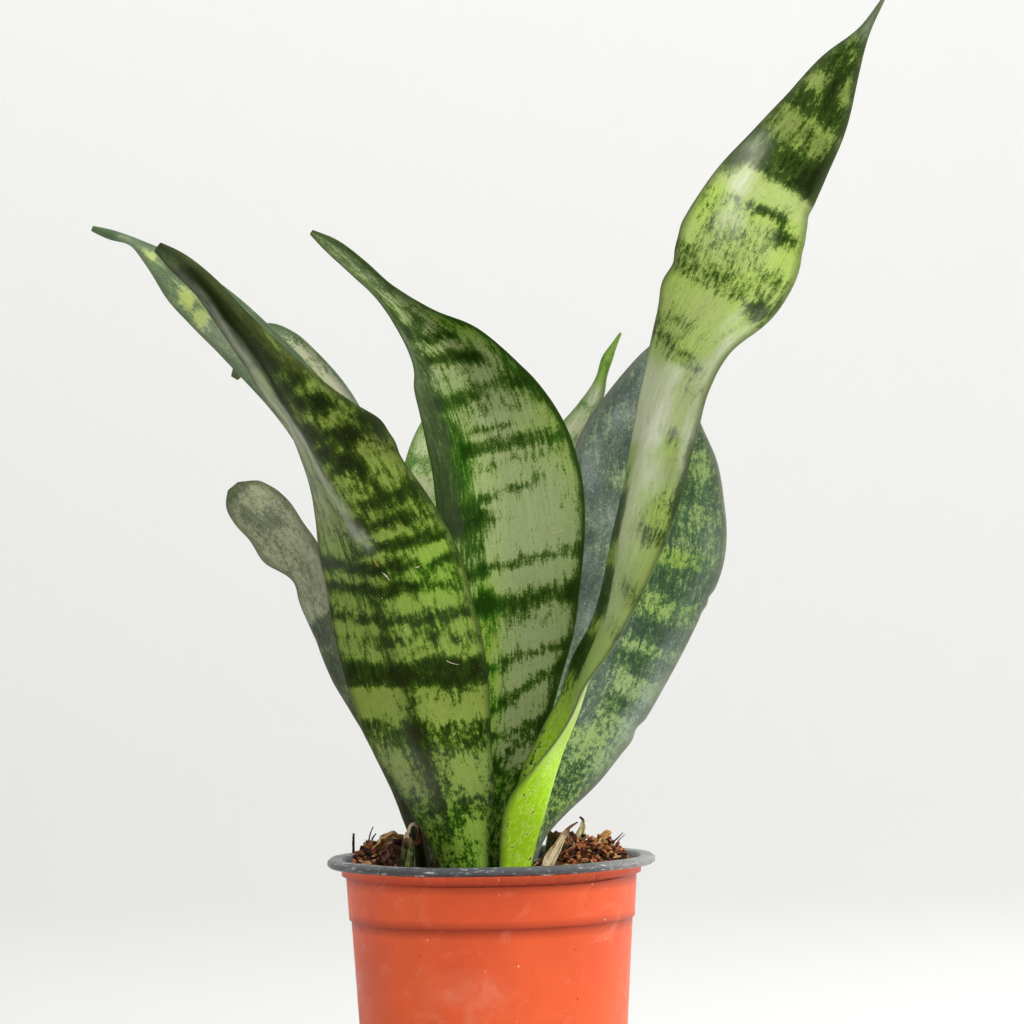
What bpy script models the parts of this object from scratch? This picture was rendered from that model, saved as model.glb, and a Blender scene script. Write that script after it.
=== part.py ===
"""Potted snake plant: nine leaves on one rhizome, potting mix and a thin plastic nursery pot.

Metres, +Z up. The pot stands on z = 0 with its axis on the Z axis, and the leaves face -Y.
"""

import math
import random

import bmesh
import bpy
import numpy as np
from mathutils import Vector, noise

MM = 0.001
RIM_TOP = 116.5
LEAN = 0.0157          # the whole rosette leans this much, in radians, towards +X
LEAF_FOOT = 96.0       # where the leaves end below the surface of the mix
GAP = 0.5             # clearance between a buried piece and the mix, in millimetres

# Each leaf is a list of stations from foot to tip: x, y, z of the midrib, width of the left half,
# width of the right half, turn about the midrib, cup and fold. Millimetres and degrees.
LEAF_FRONT_LEFT = [
    (-11, -19, 96, 10, 10, 0, -30, -10),
    (-11, -19, 113, 11, 11, 0, -30, -10),
    (-15.5, -22, 140, 19, 19, 0, -28, -8),
    (-23, -25, 164, 26, 26, 0, -25, -8),
    (-30, -29, 190, 30, 30, 5, -20, -8),
    (-36, -33, 210, 31, 31, 12, -15, -12),
    (-41.5, -37, 226, 32, 32, 20, -10, -20),
    (-48.5, -41, 242, 31, 31, 25, -6, -26),
    (-56, -45, 258, 27, 28, 30, -4, -32),
    (-65, -49, 275, 22, 24.5, 35, 0, -36),
    (-74.5, -52, 291, 17, 18, 35, 0, -36),
    (-82, -54, 303, 13, 13.5, 20, 0, -38),
    (-90.4, -56, 315.7, 10, 10, 8, 0, -42),
    (-100.4, -57, 328, 7.5, 7.5, 8, 0, -42),
    (-111.4, -57, 342, 5.5, 5.5, 5, 0, -40),
    (-122, -56, 351.3, 4.5, 4.5, 5, 0, -40),
    (-129.5, -55, 357.2, 2, 2, 5, 0, -30),
]
LEAF_CENTRE = [
    (-5, 5, 96, 10, 10, 0, 15, 12),
    (-4, 5, 112, 11, 10.5, 0, 15, 12),
    (1.5, 6, 138, 15, 13, -4, 12, 16),
    (4.5, 6, 162, 20, 17.5, -8, 10, 20),
    (5, 6, 183, 26, 22.5, -12, 8, 22),
    (4.5, 6, 203, 31, 29, -16, 8, 24),
    (3.5, 5, 223, 34, 33, -18, 8, 26),
    (2, 4, 243, 35, 36.5, -20, 8, 27),
    (-0.5, 3, 263, 35, 38, -22, 8, 28),
    (-4, 2, 283, 34, 35, -20, 8, 30),
    (-9, 1, 301, 31, 28, -14, 6, 34),
    (-16, 0, 317, 26, 19, -6, 4, 42),
    (-27, 0, 328, 17, 12.5, 0, 0, 56),
    (-41.5, 0, 341, 9, 8, 0, 0, 62),
    (-53.5, -1, 352, 6.5, 6.5, 0, 0, 60),
    (-63, -1, 360, 4.5, 4, 0, 0, 50),
    (-72, -1, 366, 1, 1, 0, 0, 30),
]
LEAF_TALL_RIGHT = [
    (13.5, -5, 96, 9, 13, 85, 10, 60),
    (14.5, -6, 113, 10, 15, 84, 10, 60),
    (17, -8, 124, 12, 18, 84, 8, 58),
    (21.5, -12, 139, 15, 22, 82, 6, 54),
    (27, -16, 158.5, 18, 23, 83, 4, 26),
    (33, -20, 174, 21, 24, 82, 0, 14),
    (38, -22, 190, 22, 24, 80, 0, 10),
    (44.5, -25, 206, 23, 25, 77, 0, 2),
    (49, -26, 221, 24, 26, 74, 0, -4),
    (53.5, -27, 247, 26, 27, 67, 0, -15),
    (58, -27, 269, 26, 27, 64, 0, -20),
    (63.5, -26, 290, 26, 27, 62, 0, -16),
    (71, -25, 310, 25, 27, 60, 0, -9),
    (79.5, -24, 324, 24, 26.5, 51, 4, -1),
    (92, -22, 343, 25, 27, 26, 6, 2),
    (98.5, -21, 357, 26, 25.5, 10, 6, 2),
    (107.5, -20, 378, 22, 20.5, 0, 6, 2),
    (117.5, -19, 394, 18, 17.5, -4, 6, 0),
    (127.5, -18, 408.5, 15, 13.5, -4, 6, 0),
    (139.5, -16, 430, 7.5, 7.2, 0, 6, 0),
    (148.5, -15, 445, 2, 2, 0, 0, 0),
    (156, -15, 458, 0.7, 0.7, 0, 0, 0),
]
LEAF_BACK_RIGHT = [
    (13, 10, 96, 7, 7, -10, 15, 10),
    (15, 11, 112, 7, 7, -10, 15, 10),
    (23, 15, 138, 12, 11.5, -8, 15, 10),
    (34.5, 19, 158, 18, 16, -6, 15, 8),
    (44, 23, 178, 23, 20.5, -4, 15, 6),
    (51, 27, 198, 28, 25, -2, 15, 6),
    (57, 31, 218, 32, 29.5, 0, 15, 6),
    (62, 34, 239, 35, 34, 0, 15, 6),
    (62.5, 37, 259, 34, 33, 0, 15, 6),
    (63, 40, 283, 27.5, 27.5, 0, 15, 6),
    (65.5, 42, 297, 20, 20, 0, 15, 6),
    (70, 44, 311.5, 12.5, 13, 0, 15, 6),
    (76.5, 46, 323.5, 6.5, 7, 0, 10, 4),
    (81, 47, 332.5, 1.2, 1.2, 0, 0, 0),
]
LEAF_YOUNG = [
    (4, 17, 96, 6, 6, 10, 20, 15),
    (5.5, 18, 112, 7, 7, 10, 20, 15),
    (8.5, 23, 162, 12, 12, 10, 15, 12),
    (11.5, 30, 202, 14, 14, 10, 15, 10),
    (17.5, 36, 234.5, 13, 13, 10, 15, 10),
    (26, 40, 267, 10, 10, 15, 12, 15),
    (33, 42, 283.5, 8, 8, 20, 10, 20),
    (39.5, 44, 295, 5.5, 5.5, 25, 10, 20),
    (43.5, 45, 303, 4, 4, 30, 10, 20),
    (45.5, 46, 310, 2.6, 2.6, 40, 10, 10),
    (47.5, 46, 317, 2.4, 2.4, 20, 10, 10),
    (50, 46, 322, 1.3, 1.3, 10, 0, 0),
    (53, 46, 327.5, 0.5, 0.5, 0, 0, 0),
]
LEAF_BACK = [
    (-8, 24, 96, 7, 7, 0, 15, 12),
    (-9, 25, 112, 8, 8, 0, 15, 12),
    (-14.5, 29, 162, 13, 11, 0, 15, 10),
    (-19.5, 34, 202, 16, 13.5, 0, 15, 8),
    (-21.5, 38, 234.5, 17, 15, 0, 15, 8),
    (-23, 41, 259, 15.5, 14.5, 0, 15, 8),
    (-22.5, 42, 279, 11.5, 11.5, 0, 15, 8),
    (-20.5, 42, 291, 7.5, 7.5, 0, 12, 6),
    (-18, 42, 302, 1.5, 1.5, 0, 0, 0),
]
LEAF_FAR_LEFT = [
    (-19, 12, 96, 7, 7, 0, -20, -12),
    (-20, 12.5, 112, 8, 8, 0, -20, -12),
    (-25, 14, 162, 14, 13, 0, -18, -10),
    (-33.5, 16, 202, 16, 15, 5, -15, -8),
    (-45, 20, 242, 16, 16, 10, -12, -8),
    (-59, 25, 272, 15, 15, 20, -10, -8),
    (-77, 29, 297, 14, 14, 26, -10, -8),
    (-97, 31, 319, 13, 13, 24, -10, -8),
    (-113.5, 31, 335.5, 12, 11.5, 20, -10, -6),
    (-126, 31, 347, 9.5, 9, 15, -10, -4),
    (-133, 30, 354, 6.5, 6.5, 10, -8, 0),
    (-139, 29, 359, 4, 4, 0, 0, 0),
    (-146, 28, 364, 1.8, 1.8, 0, 0, 0),
    (-154.5, 27, 366.5, 2.1, 2.1, 0, -20, -10),
    (-162, 26, 369, 1.1, 1.1, 0, 0, 0),
]
LEAF_DROOPING = [
    (-14, 34, 96, 7, 7, 0, 15, 12),
    (-15, 35, 112, 8, 8, 0, 15, 12),
    (-25, 42, 161, 14, 14, 0, 12, 10),
    (-37.5, 50, 210, 17, 17, 0, 12, 8),
    (-50, 55, 250.5, 17, 17, 5, 10, 8),
    (-62, 59, 283.5, 14.5, 14.5, 8, 8, 6),
    (-71, 61, 302, 12, 12, 10, 6, 4),
    (-79.5, 62, 314, 10, 10, 10, 4, 4),
    (-87, 62, 322, 8.5, 8.5, 10, 0, 0),
    (-94, 61, 325, 7.5, 7.5, 10, 0, 0),
    (-99.5, 59, 320, 6, 6, 10, 0, 0),
    (-103, 57, 314, 3.5, 3.5, 5, 0, 0),
    (-106, 56, 309, 1.6, 1.6, 0, 0, 0),
]
LEAF_LOW_LEFT = [
    (-26, -4, 96, 7, 7, 50, 15, 20),
    (-26.5, -4, 112, 8, 8, 54, 15, 20),
    (-32, -2, 139, 11, 11, 62, 12, 15),
    (-44, 2, 171, 14, 14, 68, 8, 8),
    (-56.5, 5, 195, 15, 15, 68, 4, 4),
    (-68, 8, 217, 14, 14, 62, 0, 0),
    (-76, 9, 234, 12.5, 12, 40, 0, -4),
    (-83, 10, 243, 11.5, 11, 25, -4, -6),
    (-90, 11, 250.5, 11.5, 12, 15, -6, -8),
    (-97, 12, 257, 10.5, 11, 8, -6, -8),
    (-101.5, 12, 261.5, 7.5, 8, 5, -6, -6),
    (-104, 12, 264.5, 2.5, 2.5, 0, 0, 0),
]
# Short stumps of leaves that were cut away or died back, and the dry sheaths left round them.
STUB_LEFT = [
    (-36, -20, 98, 4, 4, 20, -30, -12),
    (-36, -20, 110, 4.5, 4.5, 20, -30, -12),
    (-35.5, -19, 117, 4.5, 4.5, 20, -30, -12),
    (-35, -18, 121, 3.5, 3.5, 20, -30, -12),
]
STUB_RIGHT = [
    (26, 21, 98, 5, 5, 10, -20, -10),
    (26, 21, 110, 5.5, 5.5, 10, -20, -10),
    (27.5, 21, 118, 5.5, 5.5, 10, -20, -10),
    (29, 21, 124, 4, 4, 10, -20, -10),
]
SHEATH_STRAW = [
    (25, -16, 110.6, 2.2, 2.2, 10, 20, 10),
    (27.5, -13, 114, 2.6, 2.6, 10, 20, 10),
    (31, -9, 121, 2.2, 2.2, 10, 20, 10),
    (34, -6, 128, 1.0, 1.0, 10, 10, 10),
]
SHEATH_HOOK = [
    (34.5, 12, 118, 3.2, 3.2, 0, 20, 20),
    (36, 12, 123, 3.0, 3.0, 10, 20, 20),
    (37.5, 12, 128, 1.6, 1.6, 20, 10, 10),
    (37, 12, 132, 0.9, 0.9, 20, 0, 0),
    (34.5, 12, 134, 0.5, 0.5, 20, 0, 0),
]
SHEATH_LEFT = [
    (-47.5, 10, 119, 3, 3, 0, 25, 15),
    (-45, 9, 124, 4.6, 4.6, -20, 30, 20),
    (-41, 8, 126.5, 5, 5, -30, 30, 20),
    (-37, 8, 124, 3.6, 3.6, -20, 20, 10),
    (-35.5, 7, 119.5, 1.6, 1.6, 0, 10, 0),
]
SHEATH_TORN = [
    (-33.5, -8, 118, 2.6, 2.6, 30, 30, 20),
    (-35.5, -8, 123, 3.2, 3.2, 40, 30, 20),
    (-35, -8, 128, 2.6, 2.6, 50, 30, 10),
    (-32, -8.5, 131.5, 1.2, 1.2, 60, 10, 0),
]

# Inner floor centre, up the inside, over the rolled rim and down the outside. Radius and z.
POT_PROFILE = [
    (0, 1.3), (30.5, 1.3), (32.5, 4.8), (44, 4.8), (46, 2.6), (49.6, 3.4), (52.3, 50),
    (54.4, 91.2), (55.8, 93), (56.4, 106.6), (58.6, 108.4), (58.8, 114.2), (59.6, 116),
    (61.2, 116.5), (64, 116.4), (65.3, 115.4), (65.4, 113.9), (64.3, 113), (62.6, 113.2),
    (60.6, 113.4), (60, 112.6), (60, 108.2), (57.8, 107), (57.1, 92.6), (55.8, 91.6),
    (53.6, 50), (51.1, 2.4), (50.4, 0.4), (49.6, 0), (47, 0), (45.2, 0.4), (43.4, 3.4),
    (33, 3.4), (31, 0.2), (30, 0), (0, 0),
]
POT_STEPS = 40
DRAIN_HOLES = 6
DRAIN_RING = 38.2
DRAIN_RADIUS = 3.7

# Underside of the mix, from the axis out and up to the edge of its top, clear of the pot.
MIX_PROFILE = [
    (58.2, 110), (55.9, 106.4), (55.3, 92.6), (53.9, 90.6), (51.8, 50), (49.1, 5.4),
    (32, 5.4), (30, 3.2), (0, 3.2),
]
MIX_STEPS = 40
MIX_TOP_RINGS = 8
MIX_TOP_RADIUS = 58.2

# The rhizome creeps round under the leaves; its path in plan and height.
RHIZOME_PATH = [
    (17, -9, 89), (6, -15, 89.5), (-11, -19, 90), (-26, -6, 89.5), (-21, 13, 90), (-13, 32, 89.5),
    (2, 21, 90), (13, 11, 90), (5, 4, 89.5), (-7, 4, 89.5),
]
RHIZOME_RADIUS = 4.6

TWIGS = {
    "twig_upright": [(-55, 12, 118.5), (-55.2, 12, 124), (-55, 12, 130)],
    "twig_leaning_left": [(-50.5, 14, 122.8), (-49.2, 14.2, 127), (-48, 14, 131.5)],
    "twig_leaning_right": [(-48.5, 17.5, 122.5), (-47, 17.6, 126), (-45.6, 17.5, 129.4)],
}
TWIG_RADIUS = 0.45

# Bark chips on the surface: centre in plan, length, width, height, heading in degrees.
CHIPS = {
    "bark_chip_back_right": (44, 10, 8, 4.5, 2.4, 20),
    "bark_chip_right": (50, -6, 7, 4, 2.2, 75),
    "bark_chip_front_right": (38, -22, 7.5, 4.2, 2.0, -35),
    "bark_chip_left": (-50, -8, 7, 4.2, 2.2, 60),
    "bark_chip_back": (12, 44, 9, 5, 2.6, 10),
}

COLOURS = {
    "leaf": (0.16, 0.28, 0.06, 1),
    "pale": (0.30, 0.40, 0.18, 1),
    "dark": (0.03, 0.06, 0.02, 1),
    "pot": (0.66, 0.13, 0.05, 1),
    "mix": (0.05, 0.028, 0.018, 1),
    "root": (0.45, 0.27, 0.10, 1),
    "straw": (0.60, 0.46, 0.24, 1),
    "bark": (0.12, 0.055, 0.03, 1),
}

for old in list(bpy.data.objects):
    bpy.data.objects.remove(old, do_unlink=True)

parts = bpy.data.collections.new("potted_snake_plant")
cutters = bpy.data.collections.new("cutters")
bpy.context.scene.collection.children.link(parts)
bpy.context.scene.collection.children.link(cutters)
cutters.hide_render = True


def material(name, roughness=0.5):
    found = bpy.data.materials.new(name)
    found.use_nodes = True
    shader = found.node_tree.nodes["Principled BSDF"]
    shader.inputs["Base Color"].default_value = COLOURS[name.split("-")[0]]
    shader.inputs["Roughness"].default_value = roughness
    return found


def place(obj, colour, helper=False):
    """Puts an object in its collection, with a material of its own."""
    for home in list(obj.users_collection):
        home.objects.unlink(obj)
    (cutters if helper else parts).objects.link(obj)
    if helper:
        obj.hide_render = True
        obj.display_type = "WIRE"
    obj.data.materials.clear()
    obj.data.materials.append(material(colour + "-" + obj.name))
    return obj


def leaned(points):
    """The rosette's lean, about the middle of the rim."""
    moved = np.array(points, float)
    moved[:, 0] += (moved[:, 2] - RIM_TOP) * LEAN
    moved[:, 2] -= np.array(points, float)[:, 0] * LEAN
    return moved


def smooth_stations(stations, count):
    """Samples a smooth curve through the stations, evenly along the midrib."""
    given = np.array(stations, float)
    given[:, :3] = leaned(given[:, :3])
    steps = np.linalg.norm(np.diff(given[:, :3], axis=0), axis=1)
    at = np.concatenate([[0], np.cumsum(steps)]) / steps.sum()
    chord = (given[1:] - given[:-1]) / np.diff(at)[:, None]
    before = np.diff(at)[:-1, None]
    after = np.diff(at)[1:, None]
    slope = np.vstack([chord[:1], (chord[1:] * before + chord[:-1] * after) / (before + after), chord[-1:]])
    wanted = np.linspace(0, 1, count)
    i = np.clip(np.searchsorted(at, wanted, side="right") - 1, 0, len(at) - 2)
    span = (at[i + 1] - at[i])[:, None]
    f = (wanted - at[i])[:, None] / span
    start = (2 * f**3 - 3 * f**2 + 1) * given[i] + (f**3 - 2 * f**2 + f) * span * slope[i]
    return start + (3 * f**2 - 2 * f**3) * given[i + 1] + (f**3 - f**2) * span * slope[i + 1]


def leaf_surface(stations, rows, half):
    """Points of the leaf's middle surface: rows along it and 2 * half + 1 across."""
    rib = smooth_stations(stations, rows)
    along = np.gradient(rib[:, :3], axis=0)
    along /= np.linalg.norm(along, axis=1)[:, None]
    front = np.array([0.0, -1.0, 0.0])
    front = front - (along @ front)[:, None] * along
    front /= np.linalg.norm(front, axis=1)[:, None]
    right = np.cross(along, front)
    points = np.zeros((rows, 2 * half + 1, 3))
    fine = 6
    for row in range(rows):
        left_width, right_width, turn, cup, fold = rib[row, 3:8]
        for side, width in ((1, max(right_width, 0.3)), (-1, max(left_width, 0.3))):
            keel = max(0.16, 3.0 / width)
            spot = rib[row, :3].copy()
            points[row, half] = spot
            for step in range(half * fine):
                s = side * (step + 0.5) / (half * fine)
                angle = math.radians(turn + cup * s + fold * math.tanh(s / keel))
                way = right[row] * math.cos(angle) + front[row] * math.sin(angle)
                spot = spot + side * width / (half * fine) * way
                if (step + 1) % fine == 0:
                    points[row, half + side * (step + 1) // fine] = spot
    return points


def blade(name, stations, rows, half, thick, margin, colour, foot=None):
    """A leaf, stump or sheath: a grid laid on its middle surface, given thickness by Solidify.

    With a foot, it is the socket that clears the piece in the mix, down to that height.
    """
    if foot is not None:
        stations = [row[:3] + (row[3] + GAP, row[4] + GAP) + row[5:] for row in stations]
    surface = leaf_surface(stations, rows, half)
    across = 2 * half + 1
    bpy.ops.mesh.primitive_grid_add(x_subdivisions=across - 1, y_subdivisions=rows - 1, size=1)
    obj = bpy.context.object
    obj.name = name
    obj.data.name = name
    order = sorted(obj.data.vertices, key=lambda v: (round(v.co.y, 5), round(v.co.x, 5)))
    weights = obj.vertex_groups.new(name="thickness")
    for number, vertex in enumerate(order):
        row, column = divmod(number, across)
        s = (column - half) / half
        v = row / (rows - 1)
        spot = Vector(surface[row, column])
        if foot is not None and row == 0:
            spot.z = foot
        body = thick * (1 - 0.55 * v) if foot is None else thick
        here = margin + max(body - margin, 0) * (1 - abs(s) ** 1.6)
        if foot is not None:
            here += 2 * GAP
        weights.add([vertex.index], min(here / 8.0, 1.0), "REPLACE")
        vertex.co = spot * MM
    shell = obj.modifiers.new("Thickness", "SOLIDIFY")
    shell.thickness = 8.0 * MM
    shell.offset = 0
    shell.vertex_group = "thickness"
    shell.thickness_vertex_group = 0
    shell.use_even_offset = False
    return place(obj, colour, foot is not None)


def lathe(name, profile, steps, colour, helper=False):
    """Turns a profile of (radius, height) round the Z axis."""
    mesh = bpy.data.meshes.new(name)
    spots = [(radius * MM, 0, height * MM) for radius, height in profile]
    mesh.from_pydata(spots, [(i, i + 1) for i in range(len(spots) - 1)], [])
    obj = bpy.data.objects.new(name, mesh)
    bpy.context.scene.collection.objects.link(obj)
    turn = obj.modifiers.new("Turn", "SCREW")
    turn.steps = steps
    turn.render_steps = steps
    turn.use_merge_vertices = True
    turn.merge_threshold = 0.00001
    turn.use_normal_calculate = False
    return place(obj, colour, helper)


def rod(name, path, radius, sides, resolution, colour, helper=False, taper=1.0):
    """A round rod along a smooth path, made a mesh so that a Boolean can use it."""
    curve = bpy.data.curves.new(name, "CURVE")
    curve.dimensions = "3D"
    curve.resolution_u = resolution
    curve.bevel_depth = radius * MM
    curve.bevel_resolution = sides
    curve.use_fill_caps = True
    line = curve.splines.new("NURBS")
    line.points.add(len(path) - 1)
    line.use_endpoint_u = True
    line.order_u = 3
    for number, (point, spot) in enumerate(zip(line.points, path)):
        point.co = (spot[0] * MM, spot[1] * MM, spot[2] * MM, 1)
        point.radius = 1 + (taper - 1) * number / (len(path) - 1)
    drawn = bpy.data.objects.new(name + "_path", curve)
    bpy.context.scene.collection.objects.link(drawn)
    graph = bpy.context.evaluated_depsgraph_get()
    mesh = bpy.data.meshes.new_from_object(drawn.evaluated_get(graph))
    bpy.data.objects.remove(drawn, do_unlink=True)
    shape = bmesh.new()
    shape.from_mesh(mesh)
    bmesh.ops.remove_doubles(shape, verts=shape.verts, dist=0.00001)
    shape.to_mesh(mesh)
    shape.free()
    obj = bpy.data.objects.new(name, mesh)
    bpy.context.scene.collection.objects.link(obj)
    return place(obj, colour, helper)


def cut(obj, tool):
    step = obj.modifiers.new("Cut " + tool.name, "BOOLEAN")
    step.operation = "DIFFERENCE"
    step.solver = "EXACT"
    step.object = tool


def mix_height(x, y):
    """Height of the surface of the mix at a point, in millimetres."""
    radius = math.hypot(x, y)
    back_left = 9.0 * math.exp(-((x + 44) ** 2 + (y - 12) ** 2) / 260)
    back_right = 9.0 * math.exp(-((x - 40) ** 2 + (y - 12) ** 2) / 300)
    front = -1.6 * math.exp(-((y + 50) ** 2) / 500)
    crumbs = 0.9 * noise.noise(Vector((x * 0.21, y * 0.21, 3.1)))
    crumbs += 0.6 * noise.noise(Vector((x * 0.47, y * 0.47, 8.7)))
    edge = min(max((MIX_TOP_RADIUS - radius) / 7, 0), 1)
    return 110.3 + (back_left + back_right + crumbs) * edge + front


def settled(stations, room):
    """Moves a loose piece up or down until its lowest part is just clear of the mix."""
    points = leaf_surface(stations, 12, 2).reshape(-1, 3)
    lift = max(mix_height(x, y) - z for x, y, z in points) + room
    return [row[:2] + (row[2] + lift,) + row[3:] for row in stations]


# The pot.
pot = lathe("nursery_pot", POT_PROFILE, POT_STEPS, "pot")
for number in range(DRAIN_HOLES):
    turn = 2 * math.pi * (number + 0.37) / DRAIN_HOLES
    spot = (DRAIN_RING * math.cos(turn) * MM, DRAIN_RING * math.sin(turn) * MM, 4 * MM)
    bpy.ops.mesh.primitive_cylinder_add(
        vertices=11, radius=DRAIN_RADIUS * MM, depth=8 * MM, location=spot
    )
    drill = bpy.context.object
    drill.name = "drain_%d" % (number + 1)
    cut(pot, place(drill, "pot", helper=True))

# The potting mix: its underside is turned, and the uneven top is closed over it ring by ring.
spots = []
faces = []
rings = []
for ring in range(1, MIX_TOP_RINGS + 1):
    radius = MIX_TOP_RADIUS * ring / MIX_TOP_RINGS
    rings.append([])
    for step in range(MIX_STEPS):
        turn = 2 * math.pi * step / MIX_STEPS
        x, y = radius * math.cos(turn), radius * math.sin(turn)
        rings[-1].append(len(spots))
        spots.append((x * MM, y * MM, mix_height(x, y) * MM))
for radius, height in MIX_PROFILE[1:-1]:
    rings.append([])
    for step in range(MIX_STEPS):
        turn = 2 * math.pi * step / MIX_STEPS
        rings[-1].append(len(spots))
        spots.append((radius * math.cos(turn) * MM, radius * math.sin(turn) * MM, height * MM))
top = len(spots)
spots.append((0, 0, mix_height(0, 0) * MM))
spots.append((0, 0, MIX_PROFILE[-1][1] * MM))
for step in range(MIX_STEPS):
    after = (step + 1) % MIX_STEPS
    faces.append((top, rings[0][step], rings[0][after]))
    faces.append((top + 1, rings[-1][after], rings[-1][step]))
    for inner, outer in zip(rings, rings[1:]):
        faces.append((inner[step], outer[step], outer[after], inner[after]))
mesh = bpy.data.meshes.new("potting_mix")
mesh.from_pydata(spots, [], faces)
mix = place(bpy.data.objects.new("potting_mix", mesh), "mix")

# The rhizome and its cavity.
rod("rhizome", RHIZOME_PATH, RHIZOME_RADIUS, 1, 3, "root")
cut(mix, rod("rhizome_cavity", RHIZOME_PATH, RHIZOME_RADIUS + 0.9, 1, 3, "mix", helper=True))

# The leaves: name, stations, rows, columns on each side, thickness, margin and colour.
LEAVES = [
    ("leaf_front_left", LEAF_FRONT_LEFT, 27, 4, 3.4, 0.9, "leaf"),
    ("leaf_centre", LEAF_CENTRE, 27, 4, 3.4, 0.9, "pale"),
    ("leaf_tall_right", LEAF_TALL_RIGHT, 34, 4, 3.4, 0.9, "leaf"),
    ("leaf_back_right", LEAF_BACK_RIGHT, 24, 4, 3.2, 0.9, "pale"),
    ("leaf_young", LEAF_YOUNG, 24, 3, 2.6, 0.8, "leaf"),
    ("leaf_back", LEAF_BACK, 18, 3, 3.0, 0.9, "pale"),
    ("leaf_far_left", LEAF_FAR_LEFT, 26, 3, 3.0, 0.9, "leaf"),
    ("leaf_drooping", LEAF_DROOPING, 25, 3, 3.0, 0.9, "pale"),
    ("leaf_low_left", LEAF_LOW_LEFT, 22, 3, 3.0, 0.9, "leaf"),
]
for name, stations, rows, half, thick, margin, colour in LEAVES:
    blade(name, stations, rows, half, thick, margin, colour)
    cut(mix, blade(name + "_socket", stations[:3], 9, half, thick, margin, "mix", LEAF_FOOT - 2.4))

STUMPS = [
    ("cut_leaf_stub_left", STUB_LEFT, 2.4, "dark"),
    ("cut_leaf_stub_right", STUB_RIGHT, 2.6, "dark"),
]
for name, stations, thick, colour in STUMPS:
    blade(name, stations, 6, 2, thick, 1.2, colour)
    cut(mix, blade(name + "_socket", stations, 6, 2, thick, 1.2, "mix", LEAF_FOOT + 1))

SHEATHS = [
    ("dry_sheath_straw", SHEATH_STRAW, 0.8),
    ("dry_sheath_hooked", SHEATH_HOOK, 0.9),
    ("dry_sheath_curled", SHEATH_LEFT, 0.9),
    ("dry_sheath_torn", SHEATH_TORN, 0.8),
]
for name, stations, thick in SHEATHS:
    blade(name, settled(stations, 1.1), 8, 2, thick, 0.6, "straw")

for name, path in TWIGS.items():
    lift = mix_height(path[0][0], path[0][1]) + 1.2 - path[0][2]
    path = [(x, y, z + lift) for x, y, z in path]
    rod(name, path, TWIG_RADIUS, 0, 2, "bark", taper=0.7)

rough = random.Random(4)
for name, (x, y, length, width, height, heading) in CHIPS.items():
    bpy.ops.mesh.primitive_ico_sphere_add(subdivisions=1, radius=0.5)
    chip = bpy.context.object
    chip.name = name
    turn = math.radians(heading)
    for vertex in chip.data.vertices:
        own = [c * rough.uniform(0.8, 1.15) for c in vertex.co]
        ahead, aside, up = own[0] * length, own[1] * width, own[2] * height
        vertex.co.x = (x + ahead * math.cos(turn) - aside * math.sin(turn)) * MM
        vertex.co.y = (y + ahead * math.sin(turn) + aside * math.cos(turn)) * MM
        vertex.co.z = up * MM
    under = max(mix_height(v.co.x / MM, v.co.y / MM) for v in chip.data.vertices)
    for vertex in chip.data.vertices:
        vertex.co.z += (under + 0.9 + 0.5 * height * 1.15) * MM
    place(chip, "bark")
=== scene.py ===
import math
import random

import bpy
import numpy as np
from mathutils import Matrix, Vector, noise


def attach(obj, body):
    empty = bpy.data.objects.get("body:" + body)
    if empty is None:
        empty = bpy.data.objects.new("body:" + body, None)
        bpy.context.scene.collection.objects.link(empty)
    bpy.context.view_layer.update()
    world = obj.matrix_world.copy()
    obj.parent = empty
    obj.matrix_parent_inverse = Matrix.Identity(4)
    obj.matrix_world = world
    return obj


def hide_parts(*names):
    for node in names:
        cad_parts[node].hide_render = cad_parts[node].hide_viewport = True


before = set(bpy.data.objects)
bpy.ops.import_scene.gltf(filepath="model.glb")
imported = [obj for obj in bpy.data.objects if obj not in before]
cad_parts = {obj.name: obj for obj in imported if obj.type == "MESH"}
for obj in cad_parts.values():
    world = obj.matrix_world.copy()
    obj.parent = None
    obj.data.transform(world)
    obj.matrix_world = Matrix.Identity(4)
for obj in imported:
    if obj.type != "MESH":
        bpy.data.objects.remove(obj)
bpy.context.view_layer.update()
bpy.ops.object.select_all(action="DESELECT")
mm = 0.001
noise.seed_set(5)


def paint(red, green, blue):
    # a 0 to 255 screen colour as the linear one that a shader takes
    line = [c / 12.92 if c <= 0.04045 else ((c + 0.055) / 1.055) ** 2.4
            for c in (red / 255, green / 255, blue / 255)]
    return (*line, 1)


def paints(shades):
    return tuple(paint(*shade) for shade in shades)


def newFinish(name, roughness=0.5, specular=0.5, tint=(1, 1, 1, 1)):
    made = bpy.data.materials.new(name)
    made.use_nodes = True
    shader = made.node_tree.nodes["Principled BSDF"]
    shader.inputs["Roughness"].default_value = roughness
    shader.inputs["Specular IOR Level"].default_value = specular
    shader.inputs["Specular Tint"].default_value = tint
    return made, made.node_tree, shader


def add(tree, kind, values=None, **settings):
    node = tree.nodes.new("ShaderNode" + kind)
    for key, value in settings.items():
        setattr(node, key, value)
    for key, value in (values or {}).items():
        if isinstance(value, bpy.types.NodeSocket):
            tree.links.new(value, node.inputs[key])
        else:
            node.inputs[key].default_value = value
    return node


def sums(tree, operation, a, b=0.0, c=0.0):
    return add(tree, "Math", {0: a, 1: b, 2: c}, operation=operation).outputs[0]


def times(tree, a, b):
    return sums(tree, "MULTIPLY", a, b)


def fused(tree, a, b, c):
    return sums(tree, "MULTIPLY_ADD", a, b, c)


def past(tree, a, b):
    # how far a value is from another, either way
    return sums(tree, "ABSOLUTE", sums(tree, "SUBTRACT", a, b))


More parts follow.
